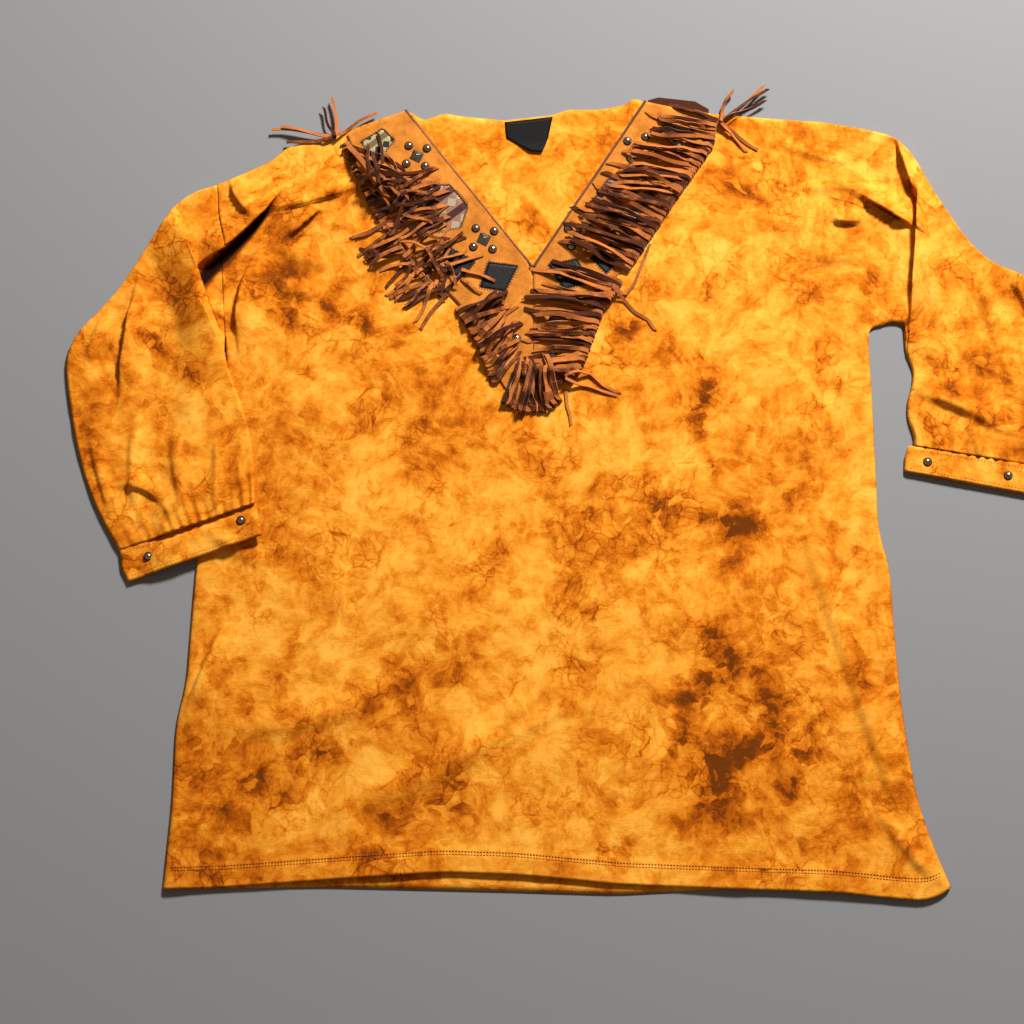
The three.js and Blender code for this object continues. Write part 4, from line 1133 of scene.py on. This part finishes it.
def leather_finish():
    """Smooth black cowhide, pressed with a fine pebble grain: dark, with a low soft gloss."""
    finish, tree, shader = new_finish(
        "pebbled_black_leather", {"Roughness": 0.55, "Specular IOR Level": 0.22}
    )
    place = add(tree, "TexCoord", {}, out="Object")
    pebble = add(tree, "TexVoronoi", {"Vector": place, "Scale": every(1.6)}, feature="SMOOTH_F1")
    cloud = add(tree, "TexNoise", {"Vector": place, "Scale": every(12), "Detail": 4})
    tone = add(tree, "Mix", {0: cloud, 6: colour("#080808"), 7: colour("#161617")}, **BETWEEN)
    tree.links.new(tone, shader.inputs["Base Color"])
    bump = add(tree, "Bump", {"Height": pebble, "Strength": 0.5, "Distance": 0.0004}, out="Normal")
    tree.links.new(bump, shader.inputs["Normal"])
    return finish


SLOT_FINISHES = {
    "light_woven": woven_finish("handwoven_cream_cotton", "#BFAE84", "#766842", "#2C2620", 9),
    "brown_woven": woven_finish("handwoven_rose_brown_wool", "#9E745E", "#4A2420", "#BCA888", 11),
    "dark_leather": leather_finish(),
}

# %% Window backings
BACKING_TOP = 3.9


def patch(corners):
    """A flat piece with these corners, cut up so finely that it can follow what lies under it."""
    bm = bmesh.new()
    verts = [bm.verts.new((*corner, 0)) for corner in corners]
    bmesh.ops.contextual_create(bm, geom=verts)
    bmesh.ops.triangulate(bm, faces=bm.faces)
    for _ in range(3):
        bmesh.ops.subdivide_edges(bm, edges=bm.edges, cuts=1, use_grid_fill=True)
    bmesh.ops.recalc_face_normals(bm, faces=bm.faces)
    if sum(f.normal.z for f in bm.faces) < 0:
        bmesh.ops.reverse_faces(bm, faces=bm.faces)
    return bm


def backing(name, half, window):
    """What shows in a window, with a UV map down the neck edge and out from it."""
    bm = patch(window_corners(half, window)[0])
    along, away = arm_axes(half)
    weave = bm.loops.layers.uv.new("weave")
    for face in bm.faces:
        for loop in face.loops:
            from_corner = loop.vert.co.xy - Vector(half["corner"])
            loop[weave].uv = (from_corner.dot(along) * MM, from_corner.dot(away) * MM)
    for v in bm.verts:
        v.co.z = BACKING_TOP + rise(v.co.x, v.co.y)
    node = f"inlay_{window['name']}_{name}"
    slot = window["slot"]
    return wall(finish_piece(bm, f"{node}_backing", [SLOT_FINISHES[slot]], slot, [node]), 0.8)


for name, half in HALVES.items():
    for window in WINDOWS:
        backing(name, half, window)

# %% [markdown]
# ## Stitching
# Every seam is thread, so every stitch is a small round-ended rod, and all the stitches of one seam are
# one mesh. A stitch is a low sphere stretched between the two holes it runs through.

# %% Thread and stitches
def thread_finish(name, tone):
    """Spun polyester thread: a slight twist and a slight gloss."""
    finish, tree, shader = new_finish(name, {"Roughness": 0.55, "Sheen Weight": 0.2})
    place = add(tree, "TexCoord", {}, out="Object")
    twist = add(tree, "TexNoise", {"Vector": place, "Scale": every(0.9), "Detail": 2})
    shade = add(tree, "MapRange", {"Value": twist, 3: 0.6, 4: 1.25})
    base = add(
        tree, "Mix", {0: 1.0, 6: colour(tone), 7: shade}, out=2, data_type="RGBA", blend_type="MULTIPLY"
    )
    tree.links.new(base, shader.inputs["Base Color"])
    return finish


brown_thread = thread_finish("spun_thread_brown", "#66300C")
rust_thread = thread_finish("spun_thread_rust", "#A45C14")
black_thread = thread_finish("spun_thread_black", "#2A2422")


def stitch(bm, start, end, radius):
    """One stitch between two points of the plan."""
    start, end = Vector(start), Vector(end)
    run = end - start
    turn = run.to_track_quat("Z", "Y").to_matrix().to_4x4()
    size = Matrix.Diagonal((radius, radius, run.length / 2, 1))
    place = Matrix.Translation((start + end) / 2) @ turn @ size
    bmesh.ops.create_icosphere(bm, subdivisions=1, radius=1, matrix=place)


def points_along(line, pitch):
    """Evenly spaced points of a line of the plan, with the direction of the line at each."""
    line = [Vector(p) for p in line]
    places, left = [], pitch / 2
    for p, q in zip(line, line[1:]):
        run = q - p
        while left < run.length:
            places.append((p + run * (left / run.length), run.normalized()))
            left += pitch
        left -= run.length
    return places


def running_seam(name, seams, finish, slot, pitch=3.4, length=2.4, radius=0.32):
    """Lines of stitches: each seam is a line, and the function that gives the cloth's height there."""
    bm = bmesh.new()
    for line, height in seams:
        for place, run in points_along(line, pitch):
            p, q = place - run * length / 2, place + run * length / 2
            stitch(bm, (*p, height(*p)), (*q, height(*q)), radius)
    return finish_piece(bm, name, [finish], slot)


def on_hem(x, y):
    return FRONT_TOP + 0.4 + rise(x, y) + float(hem_lift(x, y - read_line(FRONT_HEM, x, 12)))


hem_line = [(x, float(read_line(FRONT_HEM, x, 12))) for x in range(-382, 362, 6)]
hem_seams = [([(x, y + off) for x, y in hem_line], on_hem) for off in (HEM - 1.6, HEM + 1.6)]
running_seam("hem_stitches", hem_seams, rust_thread, "jersey", pitch=3, radius=0.34)


def back_at(x, y):
    return JERSEY + 0.15 + float(back_rise(np.array([x]), np.array([y]))[0])


neck_line = [(x, float(read_line(BACK_TOP, x, 3)) - NECK_RIM) for x in range(-150, 73, 4)]
running_seam("neck_stitches", [(neck_line, back_at)], brown_thread, "jersey", pitch=2.7)


def cuff_seams(side, sections):
    """Two lines of stitches along a cuff, near its edges, with the cuff's height along each."""
    shares = np.linspace(0.03, 0.97, 60)
    for along in (0.13, 0.87):
        level = np.full(shares.shape, along)
        x, y, _ = tube_places(sections, level, shares)
        z = underside(side, x, y, level) + CUFF_HEIGHT + cuff_top(x, y, level, shares)
        order = np.argsort(x)
        known_x, known_z = x[order], z[order]
        yield list(zip(x, y)), lambda px, py: float(np.interp(px, known_x, known_z)) + 0.05


for side, sections in (("left", LEFT_CUFF), ("right", RIGHT_CUFF)):
    running_seam(f"cuff_{side}_stitches", cuff_seams(side, sections), rust_thread, "cuff")


# %% Zigzag round the windows and edging of the V
ZIGZAG_PITCH = 1.5
ZIGZAG_OUT = 1.5  # mm from the cut edge to the holes in the suede
ZIGZAG_IN = 1.1  # mm to the holes in what shows in the window


def window_zigzag(name, half):
    bm = bmesh.new()
    for window in WINDOWS:
        corners, middle = window_corners(half, window)
        before = None
        for i, (place, run) in enumerate(points_along(corners + corners[:1], ZIGZAG_PITCH)):
            outward = Vector((run.y, -run.x))
            if outward.dot(place - middle) < 0:
                outward = -outward
            on_suede = i % 2
            spot = place + outward * (ZIGZAG_OUT if on_suede else -ZIGZAG_IN)
            level = (YOKE_TOP + 0.15 if on_suede else BACKING_TOP + 0.3) + rise(*spot)
            after = (*spot, level)
            if before:
                stitch(bm, before, after, 0.42)
            before = after
    return finish_piece(bm, f"window_zigzag_{name}", [brown_thread], "suede")


def neck_edging(name, half):
    """Close stitches laid over the cut edge of the band, all along the neck."""
    bm = bmesh.new()
    _, away = arm_axes(half)
    for place, _ in points_along([half["corner"], NECK_POINT], 0.95):
        p, q = place - away * 0.9, place + away * 2.6
        lift = rise(*place)
        stitch(bm, (*p, FRONT_TOP + 0.9 + lift), (*q, YOKE_TOP + 0.35 + lift), 0.55)
    return finish_piece(bm, f"neck_edging_{name}", [brown_thread], "suede")


for name, half in HALVES.items():
    window_zigzag(name, half)
    neck_edging(name, half)

# %% [markdown]
# ## Studs and snaps
# The round studs are pressed nickel domes on a darker collar, and the square ones are four-sided
# pyramids. Each dome is a profile spun round its own axis, and each pyramid is a four-sided cone
# with its edges bevelled.

# %% Studs
def nickel_finish(name, bright, dark, roughness):
    """Nickel plate with years of handling: bright on top, dull and dark in the low places."""
    finish, tree, shader = new_finish(name, {"Metallic": 1.0, "Roughness": roughness})
    place = add(tree, "TexCoord", {}, out="Object")
    tarnish = add(tree, "TexNoise", {"Vector": place, "Scale": every(3), "Detail": 5})
    tone = add(tree, "Mix", {0: tarnish, 6: colour(dark), 7: colour(bright)}, **BETWEEN)
    tree.links.new(tone, shader.inputs["Base Color"])
    return finish


nickel = nickel_finish("tarnished_nickel_plate", "#C9C6BC", "#6E685E", 0.22)
collar = nickel_finish("darkened_nickel_collar", "#4A4038", "#1E1712", 0.45)
ARM_SPOTS = [(34, 22), (62, 22), (48, 9), (48, 36), (148, 22), (176, 22), (162, 9), (162, 36)]
ARM_PYRAMIDS = [(48, 22.5), (162, 22.5)]
CENTRE_SPOTS = [(-50, 140), (-14, 122), (-47, 102)]
CENTRE_PYRAMID = (-12, 158)
CUFF_SNAPS = {"left": [(-415, -84), (-323, -49)], "right": [(362, 12), (442, -2)]}
DOME = [(0, 2.9), (1.2, 2.8), (2.3, 2.3), (3.1, 1.5), (3.5, 0.7)]
COLLAR = [(3.5, 0.7), (4.1, 0.75), (4.5, 0.45), (4.6, 0)]
PYRAMID_SIDE = 12
PYRAMID_HEIGHT = 4
PYRAMID_TURN = 0.35
TIP = 0.2  # mm across the blunt tip of a pyramid
SPOT_ROOM = (4.6, 2.9)  # radius and height that a round stud takes up under the fringe
PYRAMID_ROOM = (6.5, PYRAMID_HEIGHT)


def turned(bm, profile, steps, material):
    """A profile of radius and height spun round the upright axis."""
    before = set(bm.faces)
    verts = [bm.verts.new((r, 0, z)) for r, z in profile]
    edges = [bm.edges.new(pair) for pair in zip(verts, verts[1:])]
    bmesh.ops.spin(
        bm, geom=verts + edges, cent=(0, 0, 0), axis=(0, 0, 1), angle=2 * pi, steps=steps, use_merge=True
    )
    for face in set(bm.faces) - before:
        face.material_index = material


def round_stud(name, node, x, y, seat):
    bm = bmesh.new()
    turned(bm, DOME, 20, 0)
    turned(bm, COLLAR, 20, 1)
    bmesh.ops.remove_doubles(bm, verts=bm.verts, dist=0.01)
    rim = [e for e in bm.edges if e.is_boundary]
    bmesh.ops.holes_fill(bm, edges=rim, sides=0)
    bmesh.ops.recalc_face_normals(bm, faces=bm.faces)
    bmesh.ops.translate(bm, vec=(x, y, seat), verts=bm.verts)
    return finish_piece(bm, name, [nickel, collar], "nickel", [node], sharp=50)


def pyramid_stud(name, node, x, y, seat):
    bm = bmesh.new()
    bmesh.ops.create_cone(
        bm, cap_ends=True, segments=4, radius1=PYRAMID_SIDE / 2 ** 0.5, radius2=TIP, depth=PYRAMID_HEIGHT
    )
    bmesh.ops.bevel(
        bm, geom=list(bm.edges), offset=0.35, affect="EDGES", segments=2, profile=0.5, material=-1
    )
    bmesh.ops.rotate(bm, verts=bm.verts, matrix=Matrix.Rotation(PYRAMID_TURN, 3, "Z"))
    bmesh.ops.translate(bm, vec=(x, y, seat + PYRAMID_HEIGHT / 2), verts=bm.verts)
    return finish_piece(bm, name, [nickel], "nickel", [node], sharp=35)


studs = []


def seat_studs(name, spots, pyramids):
    """Sets round and pyramid studs on the yoke, and notes the room that each takes up."""
    for i, (x, y) in enumerate(spots, 1):
        studs.append((x, y, *SPOT_ROOM))
        round_stud(f"stud_{name}_{i}", f"spot_{name}_{i}", x, y, YOKE_TOP + 0.1 + rise(x, y))
    for node, (x, y) in pyramids.items():
        studs.append((x, y, *PYRAMID_ROOM))
        pyramid_stud(f"{node}_stud", node, x, y, YOKE_TOP + 0.1 + rise(x, y))


for name, half in HALVES.items():
    pyramids = {f"pyramid_{name}_{i}": on_arm(half, p) for i, p in enumerate(ARM_PYRAMIDS, 1)}
    seat_studs(name, [on_arm(half, p) for p in ARM_SPOTS], pyramids)
seat_studs("centre", CENTRE_SPOTS, {"pyramid_centre": CENTRE_PYRAMID})
for side, places in CUFF_SNAPS.items():
    for i, (x, y) in enumerate(places, 1):
        place = (np.array([x]), np.array([y]), np.array([0.5]))
        seat = float((underside(side, *place) + CUFF_HEIGHT + cuff_top(*place, None))[0]) + 0.1
        round_stud(f"cuff_{side}_snap_{i}", f"snap_{side}_{i}", x, y, seat)
print(len(studs), "studs on the yoke")

# %% [markdown]
# ## Fringe
# The fringe is one strip of suede along the yoke's outer edge, cut into strands that were flipped over
# towards the neck. Each strand here is a ribbon: a narrow grid bent along its own line, thickened with
# Solidify, whose rim takes the paler finish of a raw cut edge. A map of how high things already stand,
# one cell to the millimetre, lets each new strand drape over the studs and the strands laid before it.

# %% The pile map
PILE_AT = (-340, 20)
PILE_CELLS = (620, 440)
CLEAR = 0.2  # mm that the strands keep from what they lie on


def first_pile():
    x, y = np.meshgrid(*(low + np.arange(n) for low, n in zip(PILE_AT, PILE_CELLS)), indexing="ij")
    level = np.full(x.shape, FRONT_TOP + CLEAR)
    for half in HALVES.values():
        outline = [s["inner"] for s in half["sections"]] + [s["outer"] for s in half["sections"]][::-1]
        level[inside(outline, x, y)] = YOKE_TOP + CLEAR
    for sx, sy, radius, height in studs:
        level[np.hypot(x - sx, y - sy) < radius] = YOKE_TOP + height + CLEAR
    return level + lift_at(x, y)


pile = first_pile()
print("pile map", pile.shape, "tallest", round(float(pile.max()), 1), "mm")


def cells(points):
    points = np.asarray(points)
    i = np.clip(np.round(points[..., 0] - PILE_AT[0]).astype(int), 0, PILE_CELLS[0] - 1)
    j = np.clip(np.round(points[..., 1] - PILE_AT[1]).astype(int), 0, PILE_CELLS[1] - 1)
    return i, j


# %% Strands
STRAND_THICK = 1.0
STRAND_GAP = 0.15
SAMPLES = 15
SLACK = 0.55  # steepest that a strand climbs or falls
FRINGES = [
    {
        "name": "fringe_right_arm",
        "edge": [(151, 378), (147, 350), (128, 322), (106, 290), (84, 255), (58, 214)],
        "lie": [(0, 168, 58), (0.3, 170, 66), (0.6, 162, 70), (1, 152, 72)],
        "scatter": 13,
        "pitch": 3.5,
    },
    {
        "name": "fringe_right_low",
        "edge": [(52, 203), (44, 190), (31, 171), (20, 141), (10, 115), (-1.5, 96)],
        "lie": [(0, 170, 78), (0.5, 172, 64), (1, 196, 42)],
        "scatter": 11,
        "pitch": 3.5,
    },
    {
        "name": "fringe_tip",
        "edge": [(-10, 82), (-22, 71), (-46, 71), (-60, 80)],
        "lie": [(0, 104, 40), (0.5, 92, 48), (1, 76, 40)],
        "scatter": 10,
        "pitch": 3.2,
    },
    {
        "name": "fringe_left_low",
        "edge": [(-67, 95), (-75, 116), (-83, 138), (-93, 155), (-106, 175)],
        "lie": [(0, 52, 36), (0.5, 44, 42), (1, 24, 48)],
        "scatter": 18,
        "pitch": 3.4,
    },
    {
        "name": "fringe_left_arm",
        "edge": [(-118, 186), (-148, 214), (-172, 247), (-194, 284), (-211, 322), (-224, 352)],
        "lie": [(0, 56, 44), (0.3, 40, 62), (0.6, 10, 64), (1, -36, 78)],
        "scatter": 28,
        "pitch": 3.1,
        "out": 0.45,
        "out_until": 0.7,
        "turn": 168,
        "out_length": 40,
    },
]
BUNCHES = [
    {
        "name": "fringe_right_shoulder",
        "at": (162, 371),
        "strands": [(44, 62), (36, 64), (29, 54), (-36, 48), (-50, 40), (66, 40)],
    },
    {
        "name": "fringe_left_shoulder",
        "at": (-237, 356),
        "strands": [(175, 68), (168, 58), (184, 52), (100, 44), (112, 36), (32, 50)],
    },
]
LOOSE_WIDTH = 3.4
TANGLE = 26  # short strands thrown across the left arm
TANGLE_WIDTH = 3.6
TANGLE_LINE = [(-112, 200), (-140, 228), (-163, 258), (-184, 292), (-202, 328)]
LOOSE = [
    [(48, 192), (61, 185), (71, 198), (77, 213), (87, 240)],
    [(48, 192), (60, 180), (70, 168), (84, 160), (91, 149)],
    [(-1, 99), (12, 104), (25, 102), (38, 90), (53, 83)],
    [(-1, 96), (12, 91), (24, 89), (38, 84), (52, 80)],
    [(0, 86), (1, 70), (4, 60), (5, 50)],
]


def scatter_of(number, kind):
    """A number from 0 to 1 that looks random and is the same each time, in a series for each kind."""
    wave = sin(number * 12.9898 + kind * 78.233) * 43758.5453
    return wave - np.floor(wave)


def line_points(line, count):
    """So many points, evenly spaced along a line of the plan."""
    line = np.array(line, float)
    steps = np.hypot(*np.diff(line, axis=0).T)
    keys = np.concatenate([[0], np.cumsum(steps)])
    at = np.linspace(0, keys[-1], count)
    return np.stack([np.interp(at, keys, line[:, k]) for k in (0, 1)], axis=1)


def moved_off(line, off):
    """The same line moved to its left."""
    line = np.array(line, float)
    run = np.diff(line, axis=0)
    side = np.stack([-run[:, 1], run[:, 0]], axis=1) / np.hypot(*run.T)[:, None]
    first = np.concatenate([side[:1], side])
    last = np.concatenate([side, side[-1:]])
    both = first + last
    return line + both * (2 * off / (both ** 2).sum(axis=1))[:, None]


def strand_line(number, root, heading, length):
    """The plan of a strand: a slight bow and a slight S."""
    turn = radians(heading)
    way = np.array([np.cos(turn), np.sin(turn)])
    side = np.array([-way[1], way[0]])
    t = np.linspace(0, 1, SAMPLES)
    bow = 4.5 * (2 * scatter_of(number, 3) - 1) * (length / 60)
    wave = 1.4 * (2 * scatter_of(number, 4) - 1)
    off = bow * np.sin(pi * t * 0.8) + wave * np.sin(2 * pi * t + 6 * scatter_of(number, 5))
    off -= off[0]
    return np.array(root) + np.outer(t * length, way) + np.outer(off, side)


def drape(line, half_width, roll, root_z):
    """Heights at which a strand rests on what already lies under it."""
    run = np.gradient(line, axis=0)
    run /= np.hypot(*run.T)[:, None]
    side = np.stack([-run[:, 1], run[:, 0]], axis=1)
    reach = half_width * np.cos(roll)
    feet = [line + side * (reach * k)[:, None] for k in (-1, -0.5, 0, 0.5, 1)]
    ground = np.max([pile[cells(p)] for p in feet], axis=0)
    rest = ground + STRAND_GAP + np.abs(np.sin(roll)) * half_width
    if root_z is not None:
        rest[0] = max(rest[0], root_z)
    at = np.concatenate([[0], np.cumsum(np.hypot(*np.diff(line, axis=0).T))])
    tent = (rest[None, :] - SLACK * np.abs(at[:, None] - at[None, :])).max(axis=1)
    eased = tent.copy()
    eased[1:-1] = (tent[:-2] + 2 * tent[1:-1] + tent[2:]) / 4
    return np.maximum(eased, rest), side


def mark_pile(line, side, half, roll, z):
    """Raises the pile map to a strand's upper face."""
    t = np.linspace(0, 1, SAMPLES)
    fine_t = np.linspace(0, 1, SAMPLES * 5)
    fine = np.stack([np.interp(fine_t, t, line[:, k]) for k in (0, 1)], axis=1)
    fine_side = np.stack([np.interp(fine_t, t, side[:, k]) for k in (0, 1)], axis=1)
    fine_half = np.interp(fine_t, t, half * np.cos(roll))
    fine_z = np.interp(fine_t, t, z + STRAND_THICK + np.abs(np.sin(roll)) * half)
    for k in np.linspace(-1, 1, 5):
        i, j = cells(fine + fine_side * (fine_half * k)[:, None])
        np.maximum.at(pile, (i, j), fine_z)


def from_under(start, away):
    """The stretch of a strand that comes out under the yoke's edge and bends up over it."""
    bend = [(1.2, YOKE_Z - 0.1), (4.6, YOKE_Z + 0.2), (5.6, YOKE_Z + 1.6), (4.6, start[2] - 0.3)]
    lowest = min(start[2], YOKE_Z)
    return [np.array([*(start[:2] + away * out), max(height, lowest)]) for out, height in bend]


def ribbon(bm, number, points, sides, rolls, halves):
    """A grid two faces wide that follows a strand's line, with its end cut aslant."""
    last = len(points) - 1
    made = bmesh.ops.create_grid(bm, x_segments=last, y_segments=1, size=1)["verts"]
    tone = scatter_of(number, 7)
    layer = bm.verts.layers.float["tone"]
    for v in made:
        i = round((v.co.x + 1) / 2 * last)
        k = round(v.co.y)
        up = np.array([0, 0, 1.0])
        across = sides[i] * np.cos(rolls[i]) + up * np.sin(rolls[i])
        cut = 0.8 * k * (2 * scatter_of(number, 8) - 1) if i == last else 0
        ahead = (points[last] - points[last - 1]) * cut
        v.co = points[i] + across * (halves[i] * k) + ahead
        v[layer] = tone


def lay_strand(bm, number, line, width, root_z=None, away=None):
    """Adds a strand to the fringe and marks it on the pile map."""
    t = np.linspace(0, 1, SAMPLES)
    tilt = (2 * scatter_of(number, 6) - 1) * 0.95
    roll = tilt * np.sin(pi * np.clip(t * 1.1, 0, 1)) + 0.08 * np.sin(5 * t + number)
    half = width / 2 * (1 - 0.18 * t)
    z, side = drape(line, half, roll, root_z)
    mark_pile(line, side, half, roll, z)
    points = [np.array([*p, h]) for p, h in zip(line, z)]
    sides = [np.array([*s, 0]) for s in side]
    rolls, halves = list(roll), list(half)
    if away is not None:
        first = from_under(points[0], away)
        points = first + points
        sides = [sides[0]] * len(first) + sides
        rolls = [0] * len(first) + rolls
        halves = [halves[0] * 0.9] * len(first) + halves
    ribbon(bm, number, points, sides, rolls, halves)


def new_fringe():
    """An empty bmesh whose points carry a tone from 0 to 1."""
    bm = bmesh.new()
    bm.verts.layers.float.new("tone")
    return bm


STRIP_STEPS = 23


def strip_of(bm, edge):
    """The narrow strip that the strands grow from, along the yoke's edge."""
    inner, outer = (line_points(moved_off(edge, off), STRIP_STEPS + 1) for off in (0.6, 4.2))
    made = bmesh.ops.create_grid(bm, x_segments=STRIP_STEPS, y_segments=2, size=1)["verts"]
    layer = bm.verts.layers.float["tone"]
    for v in made:
        i = round((v.co.x + 1) / 2 * STRIP_STEPS)
        share = (v.co.y + 1) / 2
        x, y = inner[i] * (1 - share) + outer[i] * share
        v.co = (x, y, YOKE_Z + 0.9 + 0.5 * (1 - abs(v.co.y)) + rise(x, y))
        v[layer] = 0.1


def ribbon_width(number):
    return 3.4 + 1.8 * scatter_of(number, 9)


def fringe(row, first):
    """A row of strands on their strip. The order in which they were flipped over is mixed."""
    bm = new_fringe()
    strip_of(bm, row["edge"])
    roots = moved_off(row["edge"], 2.4)
    long = np.hypot(*np.diff(roots, axis=0).T).sum()
    count = int(long / row["pitch"])
    places = line_points(roots, 2 * count + 1)[1::2]
    runs = line_points(row["edge"], 2 * count + 1)
    shares, headings, lengths = zip(*row["lie"])
    order = sorted(range(count), key=lambda i: scatter_of(first + i, 10))
    for i in order:
        number = first + i
        share = (i + 0.5) / count
        out = share < row.get("out_until", 0) and scatter_of(number, 11) < row["out"]
        jitter = (2 * scatter_of(number, 1) - 1) * row["scatter"]
        heading = np.interp(share, shares, headings) + (row["turn"] if out else 0) + jitter
        full = row["out_length"] if out else np.interp(share, shares, lengths)
        length = full * (0.8 + 0.34 * scatter_of(number, 2))
        line = strand_line(number, places[i], heading, length)
        run = runs[2 * i + 2] - runs[2 * i]
        away = np.array([-run[1], run[0]]) / np.hypot(*run)
        lift = rise(*places[i])
        lay_strand(bm, number, line, ribbon_width(number), YOKE_Z + 2.6 + lift, None if out else away)
    print(row["name"], count, "strands")
    return bm


def finish_fringe(bm, name, nodes):
    piece = finish_piece(bm, f"{name}_strands", [fringe_suede, cut_edge], "fringe", nodes)
    wall(piece, STRAND_THICK, offset=1, rim=1)
    piece.data.shade_flat()


for i, row in enumerate(FRINGES):
    finish_fringe(fringe(row, 100 * i), row["name"], [row["name"]])

# %% [markdown]
# ## Shoulder bunches and loose strands
# At each shoulder the last strands lie across each other and sprawl over the cloth, and a few long ones
# have come loose lower down. They are laid last, so they lie on top of everything.

# %% Loose strands
for i, bunch in enumerate(BUNCHES):
    bm = new_fringe()
    for j, (heading, length) in enumerate(bunch["strands"]):
        number = 100 * (len(FRINGES) + i) + j
        lay_strand(bm, number, strand_line(number, bunch["at"], heading, length), LOOSE_WIDTH)
    finish_fringe(bm, bunch["name"], [bunch["name"]])
bm = new_fringe()
for i, (x, y) in enumerate(line_points(TANGLE_LINE, TANGLE)):
    number = 700 + i
    root = (x + 30 * scatter_of(number, 12) - 8, y + 16 * scatter_of(number, 13) - 8)
    heading = 360 * scatter_of(number, 14)
    line = strand_line(number, root, heading, 24 + 20 * scatter_of(number, 2))
    lay_strand(bm, number, line, TANGLE_WIDTH)
for i, line in enumerate(LOOSE):
    lay_strand(bm, 900 + i, line_points(line, SAMPLES), LOOSE_WIDTH)
finish_fringe(bm, "loose", ())
print("fringe stands up to", round(float(pile.max()), 1), "mm")

# %% [markdown]
# ## Label and the yoke's turn to the back
# The label is a bare black woven patch under the back of the neck. A strip of the dark side of the band
# shows past the right shoulder, where the yoke turns over to the back.

# %% Label
LABEL = [(-62, 374), (-60, 357), (-44, 347), (-36, 342), (-23, 341), (-17, 356), (-12, 380)]
LABEL_LINE = [(-59, 372), (-36, 374), (-15, 377)]


def label_finish():
    """Black satin weave: close floating threads that run along the label."""
    finish, tree, shader = new_finish("black_satin_label", {"Roughness": 0.7, "Specular IOR Level": 0.12})
    place = add(tree, "TexCoord", {}, out="Object")
    long = add(tree, "Mapping", {"Vector": place, "Scale": (0.15, 1, 1)})
    thread = add(tree, "TexNoise", {"Vector": long, "Scale": every(0.8), "Detail": 2})
    tone = add(tree, "Mix", {0: thread, 6: colour("#040404"), 7: colour("#121113")}, **BETWEEN)
    tree.links.new(tone, shader.inputs["Base Color"])
    bump = add(tree, "Bump", {"Height": thread, "Strength": 0.5, "Distance": 0.0003}, out="Normal")
    tree.links.new(bump, shader.inputs["Normal"])
    return finish


def on_label(x, y):
    return JERSEY + 1.6


bm = patch(LABEL)
for v in bm.verts:
    curl = 1.6 * float(smooth((352 - v.co.y) / 12))
    v.co.z = JERSEY + 1.3 + curl + float(back_rise(np.array([v.co.x]), np.array([v.co.y]))[0])
wall(finish_piece(bm, "label_patch", [label_finish()], "label", ["label"]), 0.7)
running_seam("label_stitches", [(LABEL_LINE, on_label)], black_thread, "label", pitch=2.6)

yoke_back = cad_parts["yoke_back"].data.materials
yoke_back.clear()
yoke_back.append(fringe_suede)

# %% [markdown]
# ## Floor, light and camera
# The floor is plain and pale. One large lamp stands high on the upper right, as in the photograph, so
# that the folds throw crisp shadows down to the left, and the world fills the rest. The camera looks
# down at 80 degrees, from the side of the hem.

# %% Stage
bm = bmesh.new()
bmesh.ops.create_grid(bm, x_segments=1, y_segments=1, size=6)
bmesh.ops.translate(bm, vec=(0, 0, -0.0004), verts=bm.verts)
floor_mesh = bpy.data.meshes.new("floor")
bm.to_mesh(floor_mesh)
bm.free()
floor = bpy.data.objects.new("floor", floor_mesh)
bpy.context.scene.collection.objects.link(floor)
floor_finish, _, floor_shader = new_finish("matt_pale_floor", {"Roughness": 0.9})
floor_shader.inputs["Base Color"].default_value = colour("#7E8084")
floor_mesh.materials.append(floor_finish)

world = bpy.data.worlds.new("studio")
world.use_nodes = True
sky = world.node_tree.nodes["Background"].inputs
sky["Color"].default_value = colour("#FFE6CC")
sky["Strength"].default_value = 0.2
bpy.context.scene.world = world

AIM = Vector((-54.5, -38.2, 0))
EYE = Vector((-54.5, -320.2, 1599.2))
LAMP = AIM + Vector((1020, 2190, 1763))


def aimed(name, data, place, target):
    """An object that stands at one point of the plan and looks at another."""
    thing = bpy.data.objects.new(name, data)
    place, target = TO_FRAME @ place, TO_FRAME @ target
    thing.location = place
    thing.rotation_euler = (target - place).to_track_quat("-Z", "Y").to_euler()
    bpy.context.scene.collection.objects.link(thing)
    return thing


key = bpy.data.lights.new("key", "AREA")
key.shape = "DISK"
key.size = 0.5
key.energy = 184
key.color = (1.0, 0.97, 0.92)
aimed("key", key, LAMP, AIM)

camera_data = bpy.data.cameras.new("camera")
camera_data.angle = radians(35)
camera = aimed("camera", camera_data, EYE, AIM)
bpy.context.scene.camera = camera
bpy.context.scene.view_settings.view_transform = "Standard"
